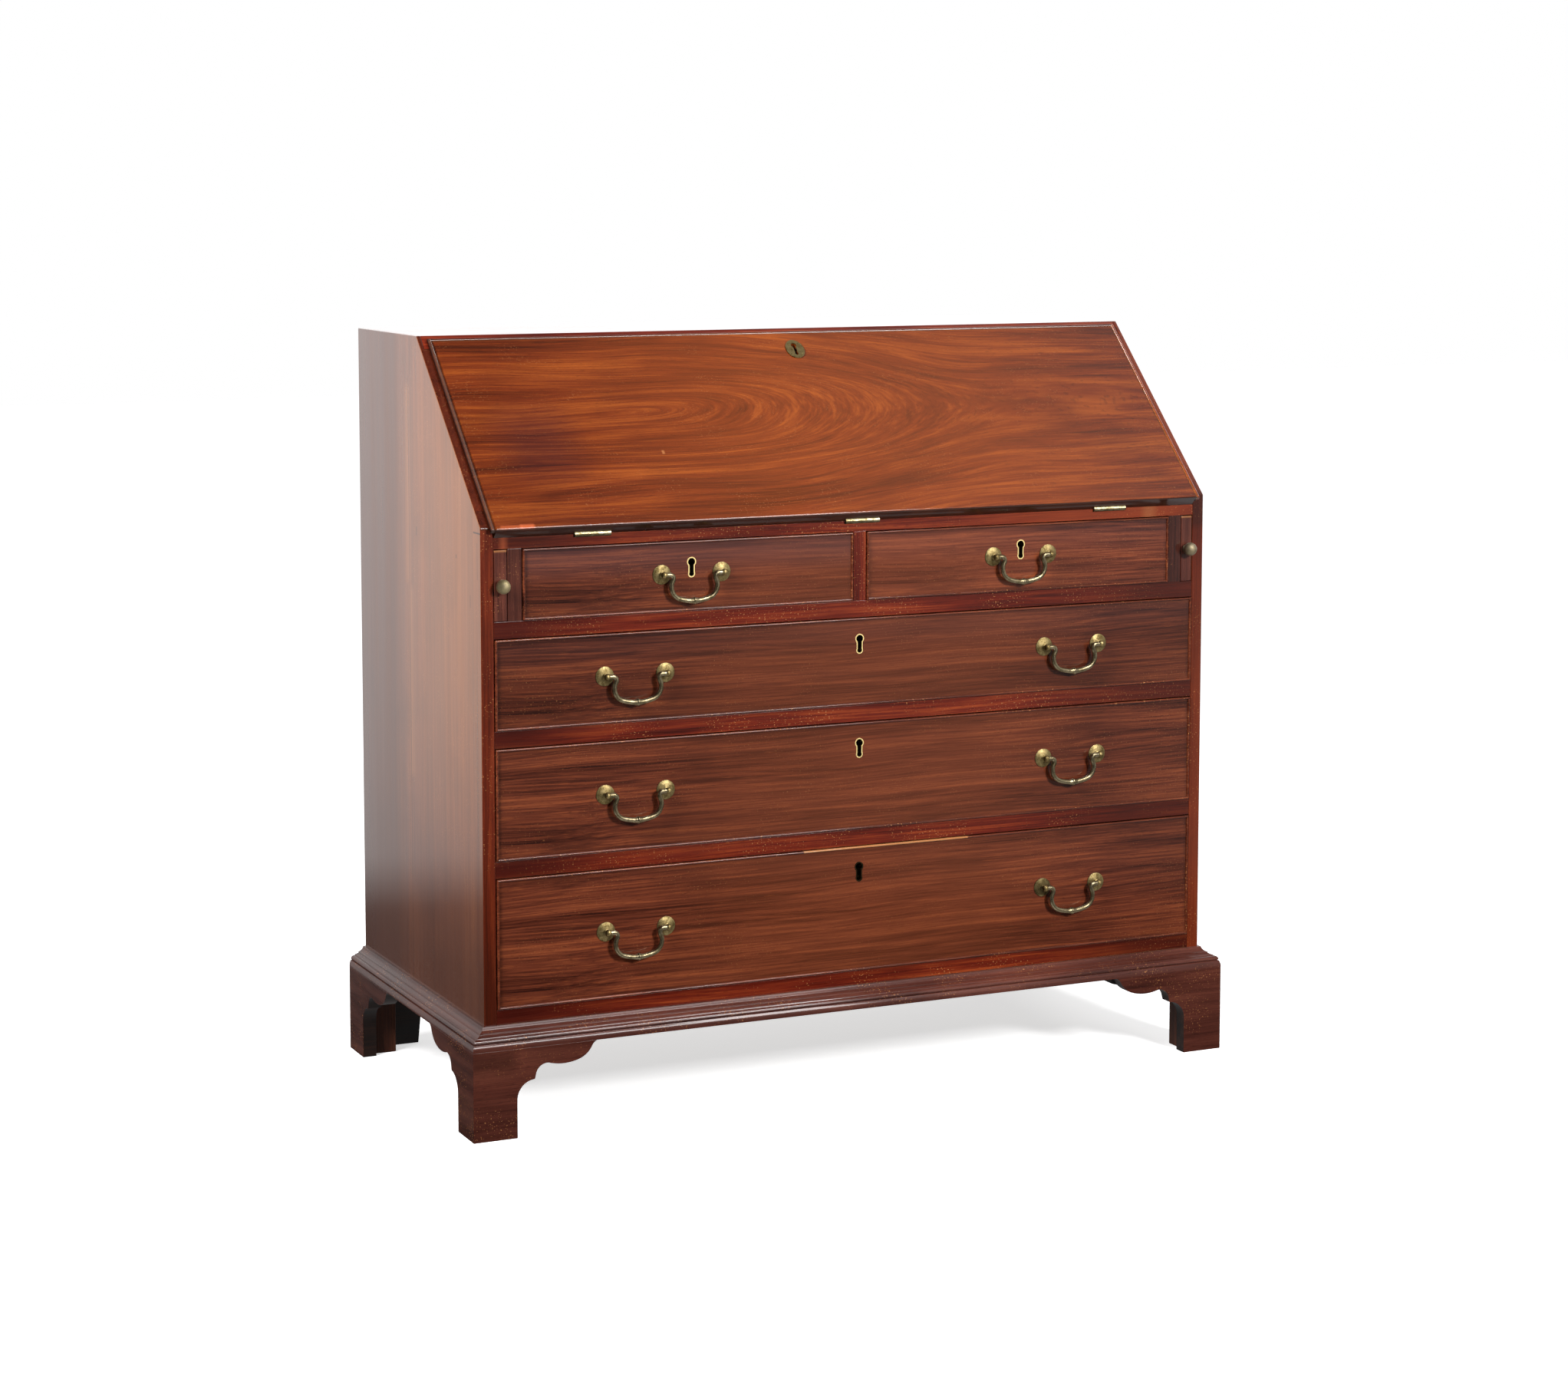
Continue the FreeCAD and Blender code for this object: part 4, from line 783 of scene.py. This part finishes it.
class BUREAU_OT_fall(bpy.types.Operator):
    """Finish the sloping fall"""

    bl_idname = "bureau.fall"
    bl_label = "Fall"

    def execute(self, context):
        sizes = context.scene.bureau_sizes
        finish = context.scene.bureau_finish
        look = Wood(tones("fall"), band=(420.0, 30.0), ribbon=(230.0, 6.0), line=(90.0, 1.5), contrast=1.25,
                    drift=34.0, crests=Crests(root=-330.0, tip=300.0, reach=125.0, middle=212.0),
                    flecks=0.4, wear=0.25, gloss=0.28)
        marks = []
        for x, up, reach, soft, shade, amount in FALL_MARKS:
            middle = FALL_FOOT + Vector((x * MM, 0.0, 0.0)) + UP_SLOPE * up * MM
            corner = Vector(reach) * MM
            marks.append(Mark(middle - corner, middle + corner, soft * MM, getattr(finish, shade), amount))

        # Painted shade under the foot, and painted shade in the keyhole behind the oval plate
        under = (fall_high.x, fall_high.y, FALL_FOOT.z - 2 * MM)
        marks.append(Mark(fall_low, under, 1.2 * MM, finish.grime_and_shade, 0.8))
        plate_low, plate_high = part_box("fall_escutcheon")
        into = Vector((0.0, math.sin(SLOPE_ANGLE), -math.cos(SLOPE_ANGLE)))
        inside = (plate_low + plate_high) / 2 + into * 8 * MM
        reach = Vector((7.0, 6.0, 6.0)) * MM
        marks.append(Mark(inside - reach, inside + reach, 0.5 * MM, finish.grime_and_shade, 0.97))

        # The moulded ends
        for end, inward, bands in ((fall_low.x, 1.0, LEFT_BANDS), (fall_high.x, -1.0, RIGHT_BANDS)):
            for near, far, shade, amount in bands:
                start, stop = sorted((end + inward * near * MM, end + inward * far * MM))
                first = (start, fall_low.y, fall_low.z)
                last = (stop, fall_high.y, fall_high.z)
                marks.append(Mark(first, last, 0.5 * MM, getattr(finish, shade), amount))
        wood = polished_wood("polished_mahogany_fall", ON_SLOPE, look, origin=FALL_FOOT, marks=marks)
        dress("fall_board", [wood], 0.5 * sizes.arris)
        return {"FINISHED"}


class BUREAU_OT_lopers(bpy.types.Operator):
    """Finish the two lopers that carry the open fall"""

    bl_idname = "bureau.lopers"
    bl_label = "Lopers"

    def execute(self, context):
        arris = context.scene.bureau_sizes.worn_arris
        finish = context.scene.bureau_finish
        look = Wood(tones("stile", 0.8), band=(200.0, 12.0), ribbon=(90.0, 4.0), wear=0.8)
        along = polished_wood("polished_mahogany_lopers", ALONG_Y, look)
        low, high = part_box("loper_left")
        # The top edge of each loper's face is paler: partly worn, partly a painted highlight on its rounded
        # arris
        worn_and_highlit_top = Mark((-1.0, low.y, high.z - 2 * MM), (1.0, low.y + 4 * MM, high.z), 1.5 * MM,
                        finish.raw_wood_and_highlight, 0.5)
        face_look = look._replace(tones=tones("base", 1.1))
        face = polished_wood("polished_mahogany_loper_faces", ALONG_Z, face_look, marks=(worn_and_highlit_top,))
        for side in ("left", "right"):
            dress("loper_" + side, [along, face], arris, facing=FORWARD)
        return {"FINISHED"}


# How far below its top edge each drawer's keyhole lies
KEYHOLE_DROP = 36 * MM

# From the top down: how far each drawer's front has bleached, and how grey its top is: bloom and painted
# reflection
BLEACHED = (1.0, 1.42, 0.92, 1.15, 1.24)
BLOOM_AND_REFLECTION = (0.18, 0.08, 0.05, 0.0, 0.0)


def keyhole_of(drawer):
    """The middle of a drawer's keyhole, on the face of its front."""
    low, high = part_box(drawer + "_front")
    return Vector(((low.x + high.x) / 2, low.y, high.z - KEYHOLE_DROP))


class BUREAU_OT_drawers(bpy.types.Operator):
    """Finish the drawer fronts, their cock beads and their linings"""

    bl_idname = "bureau.drawers"
    bl_label = "Drawers"

    def execute(self, context):
        sizes = context.scene.bureau_sizes
        finish = context.scene.bureau_finish
        oak_along = bare_wood("dry_oak_sides", ALONG_Y, tones("oak"), 0.4)
        oak_across = bare_wood("dry_oak_backs", ALONG_X, tones("oak"), 0.4)

        # A strip of the deep drawer's top bead has lost its polish
        low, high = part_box("long_drawer_deep_beads")
        strip = Mark((-0.085, low.y, high.z - 2 * MM), (0.170, high.y, high.z), 1.5 * MM,
                     finish.raw_wood_and_highlight, 0.9)
        bead_look = Wood(tones("front", 1.15), band=(200.0, 14.0), ribbon=(90.0, 3.0), wear=1.0, gloss=0.26,
                         coat=0.6, relief=0.03)
        bead = polished_wood("polished_mahogany_beads", ALONG_X, bead_look, marks=(strip,))

        # Each front is paler in its middle and darker at its border, with painted shade inside its keyhole
        border = Vector((9.0, -30.0, 7.0)) * MM
        hole_low = Vector((-8.0, 0.6, -16.0)) * MM
        hole_high = Vector((8.0, 15.0, 16.0)) * MM
        for drawer, lift, grey in zip(SHORT_DRAWERS + LONG_DRAWERS, BLEACHED, BLOOM_AND_REFLECTION):
            front = drawer + "_front"
            look = Wood(tones("front", lift), ribbon=(240.0, 4.2), contrast=1.3, drift=20.0, flecks=0.5,
                        wear=0.25)
            low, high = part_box(front)
            middle = Mark((-0.12, low.y, low.z + 0.05), (0.16, high.y, high.z - 0.05), 0.22,
                          finish.front_light, 0.30)
            # Greyer at the top: partly bloom in the polish, partly a painted reflection
            bloom_and_reflection = Mark((low.x, low.y, high.z - 20 * MM), high, 30 * MM, finish.bloom_and_reflection, grey)
            key = keyhole_of(drawer)
            hole = Mark(key + hole_low, key + hole_high, 0.2 * MM, finish.grime_and_shade, 0.97)
            wood = polished_wood("polished_mahogany_" + drawer, ALONG_X, look, origin=low,
                                 edge=(low + border, high - border), marks=(middle, bloom_and_reflection, hole))
            finish_node(front, wood)
            finish_node(drawer + "_beads", bead)
            dress(drawer + "_box", [oak_along, oak_along, oak_across], sizes.arris)
        return {"FINISHED"}


class BUREAU_OT_brasses(bpy.types.Operator):
    """Finish the handles, escutcheons, hinges and knobs"""

    bl_idname = "bureau.brasses"
    bl_label = "Brasses"

    def execute(self, context):
        finish = context.scene.bureau_finish
        bright = finish.brass_bright
        dull = finish.brass_dull

        # Each drawer's rosettes and the thread round its keyhole; the lowest drawer's have blackened
        keyhole_reach = Vector((7.5, 3.0, 15.0)) * MM
        keyhole_front = Vector((7.5, -0.2, 15.0)) * MM
        rosette_reach = Vector((14.0, 8.0, 14.0)) * MM
        for drawer in SHORT_DRAWERS + LONG_DRAWERS:
            key = keyhole_of(drawer)
            lowest = drawer == LONG_DRAWERS[-1]
            thread = finish.brass_black if lowest else finish.brass_thread
            spots = [Mark(key - keyhole_reach, key + keyhole_front, 0.4 * MM, thread, 0.9)]
            if lowest:
                bail_low, bail_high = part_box(drawer + "_bail_right")
                rosette = Vector((bail_low.x, key.y, bail_high.z))
                spots.append(Mark(rosette - rosette_reach, rosette + rosette_reach, 2 * MM,
                                  finish.brass_black, 0.6))
            brass = cast_brass("cast_brass_" + drawer, bright, dull, spots, key.y, 0.42)
            finish_node(drawer + "_brasses", brass)
        bail = cast_brass("cast_brass_bails", finish.brass_grey, finish.brass_olive, smooth=0.26)
        for node in frame["nodes"]:
            if "_bail" in node:
                finish_node(node, bail)

        # The hinges are scoured, with a painted shadow under their knuckles
        low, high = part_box("fall_hinge_leaves")
        under = Mark(low, (high.x, high.y, low.z + 3.2 * MM), 1 * MM, finish.brass_black, 0.75)
        worn = cast_brass("scoured_brass_hinges", finish.brass_pale, bright, [under], smooth=0.45)
        for node in ("bed_hinge_leaves", "fall_hinge_leaves"):
            finish_node(node, worn)
        for node, name, rubbed, tarnished, smooth in (
                ("fall_escutcheon", "cast_brass_plate", bright, dull, 0.36),
                ("fall_lock", "blackened_brass_lock", finish.brass_olive, finish.brass_black, 0.5),
                ("loper_knob_left", "satin_brass_knob", finish.brass_satin, finish.brass_grey, 0.55),
                ("loper_knob_right", "ashen_brass_knob", finish.brass_ash, finish.brass_grey, 0.5)):
            finish_node(node, cast_brass(name, rubbed, tarnished, smooth=smooth))
        return {"FINISHED"}


class BUREAU_OT_interior(bpy.types.Operator):
    """Finish the pigeonholes and small drawers behind the fall"""

    bl_idname = "bureau.interior"
    bl_label = "Interior"

    def execute(self, context):
        arris = 0.5 * context.scene.bureau_sizes.arris
        along = bare_wood("dry_oak_interior", ALONG_Y, tones("oak"), 0.3)
        across = bare_wood("dry_oak_shelf", ALONG_X, tones("oak"), 0.3)
        upright = bare_wood("dry_oak_uprights", ALONG_Z, tones("oak"), 0.3)
        dress("interior_drawer_case", [across, upright], arris)
        dress("pigeonhole_partitions", [upright], arris)
        for node in SMALL_DRAWERS:
            dress(node, [across, along, along, across, along, along], arris)
        return {"FINISHED"}


class Lamp(NamedTuple):
    """One soft light of the studio."""

    place: tuple
    aim: tuple
    size: tuple  # its width, which is level, and its height
    mirrored: bool  # whether polish and brass mirror it
    diffuse: bool  # whether it lights the colours themselves


# The key and the window light the colours, and the sheen and the strip are what polish and brass mirror
LAMPS = {
    "key": Lamp((1.2, -4.2, 2.3), (0.0, 0.0, 0.5), (0.7, 0.7), False, True),
    "sheen": Lamp((1.2, -4.2, 2.3), (0.0, 0.0, 0.5), (1.6, 1.6), True, False),
    "window": Lamp((-2.6, -0.8, 2.4), (0.0, 0.0, 0.6), (1.3, 1.3), False, True),
    "strip": Lamp((0.6, -1.9, 2.6), (0.0, -0.25, 0.5), (1.4, 0.3), True, False),
}


class BUREAU_OT_stage(bpy.types.Operator):
    """Set the floor, the studio light and the camera"""

    bl_idname = "bureau.stage"
    bl_label = "Stage"

    def execute(self, context):
        stage = context.scene.bureau_stage
        make_floor()
        light_world(context.scene)
        for name, lamp in LAMPS.items():
            add_lamp(name, lamp, getattr(stage, name))
        camera = bpy.data.cameras.new("camera")
        camera.sensor_fit = "HORIZONTAL"
        camera.sensor_width = 36.0
        camera.lens = stage.lens
        camera.shift_x, camera.shift_y = stage.camera_shift
        stand = bpy.data.objects.new("camera", camera)
        stand.location = stage.camera_place
        stand.rotation_euler = (math.pi / 2 - stage.camera_dip, 0.0, -stage.camera_yaw)
        context.scene.collection.objects.link(stand)
        context.scene.camera = stand
        context.scene.view_settings.view_transform = "Standard"
        return {"FINISHED"}


# The floor: half its size, its clouds in millimetres, the box under the bureau where it glows less as a
# painted shadow, how far that fades, and how much it glows there and elsewhere
FLOOR_HALF = 14.0
PAPER_CLOUD = (900.0, 700.0)
PAINTED_SHADOW_LOW = (-0.60, -0.12, -1.0)
PAINTED_SHADOW_HIGH = (0.42, 0.30, 1.0)
PAINTED_SHADOW_SOFT = 0.32
PAINTED_SHADOW_GLOW = 0.62
FLOOR_GLOW = 0.87


def make_floor():
    """A white paper floor: matt, and glowing a little so that shadows on it stay pale, but less under the
    bureau, as a painted shadow.
    """
    material, tree = new_material("white_paper")
    place = add_node(tree, "TexCoord", out="Object")
    cloud = streaks(tree, place, PAPER_CLOUD)
    tint = add_node(tree, "Mix", {0: cloud, 6: linear("f2f2f2"), 7: linear("ffffff")}, 2, data_type="RGBA")
    # Painted shadow: the floor glows less in the box under the bureau
    glow = within(tree, place, PAINTED_SHADOW_LOW, PAINTED_SHADOW_HIGH, PAINTED_SHADOW_SOFT, PAINTED_SHADOW_GLOW, FLOOR_GLOW)
    shader = add_node(tree, "BsdfPrincipled", {
        "Base Color": tint, "Roughness": 0.9, "Emission Color": (1.0, 1.0, 1.0), "Emission Strength": glow})
    add_node(tree, "OutputMaterial", {"Surface": shader})
    sheet = bmesh.new()
    bmesh.ops.create_grid(sheet, x_segments=2, y_segments=2, size=FLOOR_HALF)
    mesh = bpy.data.meshes.new("floor")
    sheet.to_mesh(mesh)
    sheet.free()
    mesh.materials.append(material)
    floor = bpy.data.objects.new("floor", mesh)
    floor.visible_glossy = False
    floor.visible_diffuse = False
    bpy.context.scene.collection.objects.link(floor)


class Fade(NamedTuple):
    """How the room's light changes along one axis of the direction."""

    axis: str
    start: float
    end: float
    before: float  # the level up to the start
    after: float  # the level from the end on


# The light of a white room, by direction
ROOM = {
    "above": Fade("Z", -0.218, -0.203, 0.03, 1.0),  # nearly dark below floor level
    "rising": Fade("Z", -0.20, -0.05, 0.80, 1.20),  # brighter above it
    "below": Fade("Z", -0.40, -0.60, 0.0, 0.75),  # the lit floor, which only polish and brass mirror
    "behind": Fade("Y", -0.5, 0.6, 0.11, 1.3),  # dim in front of the bureau, bright behind it
    "beside": Fade("X", -0.340, -0.295, 0.52, 0.88),  # dimmer on the left
    "glow": Fade("X", 0.36, 0.56, 0.0, 0.3),  # a little more on the right
    "zenith": Fade("Z", 0.35, 0.75, 0.0, 1.0),  # how far a direction is overhead
    "ceiling": Fade("X", 0.30, 0.52, 0.045, 0.62),  # dim overhead, and less so on the right
}
DIFFUSE_SHARE = 0.5


def light_world(scene):
    """A white room: bright behind the bureau, dim in front, at floor level and overhead to the left. Its
    floor is lit for what mirrors it, and the camera sees plain white."""
    world = bpy.data.worlds.new("studio")
    world.use_nodes = True
    tree = world.node_tree
    tree.nodes.clear()
    way = add_node(tree, "TexCoord", out="Generated")
    axes = add_node(tree, "SeparateXYZ", {"Vector": way}).node.outputs
    room = {}
    for name, fade in ROOM.items():
        room[name] = add_node(tree, "MapRange", {
            "Value": axes[fade.axis], "From Min": fade.start, "From Max": fade.end,
            "To Min": fade.before, "To Max": fade.after})
    dimmed = add_node(tree, "Mix", {0: room["zenith"], 2: 1.0, 3: room["ceiling"]}, data_type="FLOAT")
    level = add_node(tree, "Math", {0: room["behind"], 1: room["beside"], 2: room["glow"]},
                     operation="MULTIPLY_ADD")
    for part in (room["above"], room["rising"], dimmed):
        level = add_node(tree, "Math", {0: level, 1: part}, operation="MULTIPLY")
    seen = add_node(tree, "LightPath", out="Is Camera Ray")
    mirrored = seen.node.outputs["Is Glossy Ray"]
    soft = add_node(tree, "Math", {0: level, 1: DIFFUSE_SHARE}, operation="MULTIPLY")
    level = add_node(tree, "Math", {0: level, 1: room["below"]}, operation="ADD")
    level = add_node(tree, "Mix", {0: mirrored, 2: soft, 3: level}, data_type="FLOAT")
    strength = add_node(tree, "Mix", {0: seen, 2: level, 3: 1.0}, data_type="FLOAT")
    light = add_node(tree, "Background", {"Color": (1.0, 1.0, 1.0), "Strength": strength})
    add_node(tree, "OutputWorld", {"Surface": light})
    scene.world = world


def add_lamp(name, lamp, watts):
    """A soft rectangular light, aimed at a point."""
    light = bpy.data.lights.new(name, "AREA")
    light.shape = "RECTANGLE"
    light.size, light.size_y = lamp.size
    light.energy = watts
    stand = bpy.data.objects.new(name, light)
    stand.location = lamp.place
    stand.rotation_euler = (Vector(lamp.aim) - Vector(lamp.place)).to_track_quat("-Z", "Y").to_euler()
    stand.visible_glossy = lamp.mirrored
    stand.visible_diffuse = lamp.diffuse
    bpy.context.scene.collection.objects.link(stand)


PIECES = (BUREAU_OT_carcase, BUREAU_OT_base, BUREAU_OT_fall, BUREAU_OT_lopers, BUREAU_OT_drawers,
          BUREAU_OT_brasses, BUREAU_OT_interior, BUREAU_OT_stage)


class BUREAU_PT_panel(bpy.types.Panel):
    """The bureau's pieces and its stage, in the sidebar"""

    bl_idname = "BUREAU_PT_panel"
    bl_label = "Bureau"
    bl_space_type = "VIEW_3D"
    bl_region_type = "UI"
    bl_category = "Bureau"

    def draw(self, context):
        for piece in PIECES:
            self.layout.operator(piece.bl_idname)
        for group in GROUPS:
            settings = getattr(context.scene, group)
            for name in settings.bl_rna.properties.keys():
                if name not in ("rna_type", "name"):
                    self.layout.prop(settings, name)


GROUPS = {"bureau_finish": BureauFinish, "bureau_sizes": BureauSizes, "bureau_stage": BureauStage}


def register():
    for name, group in GROUPS.items():
        bpy.utils.register_class(group)
        setattr(bpy.types.Scene, name, bpy.props.PointerProperty(type=group))
    for piece in PIECES:
        bpy.utils.register_class(piece)
    bpy.utils.register_class(BUREAU_PT_panel)


def unregister():
    bpy.utils.unregister_class(BUREAU_PT_panel)
    for piece in reversed(PIECES):
        bpy.utils.unregister_class(piece)
    for name, group in GROUPS.items():
        delattr(bpy.types.Scene, name)
        bpy.utils.unregister_class(group)


def main():
    """Register the classes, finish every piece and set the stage."""
    register()
    bpy.ops.bureau.carcase()
    bpy.ops.bureau.base()
    bpy.ops.bureau.fall()
    bpy.ops.bureau.lopers()
    bpy.ops.bureau.drawers()
    bpy.ops.bureau.brasses()
    bpy.ops.bureau.interior()
    bpy.ops.bureau.stage()


if __name__ == "__main__":
    main()
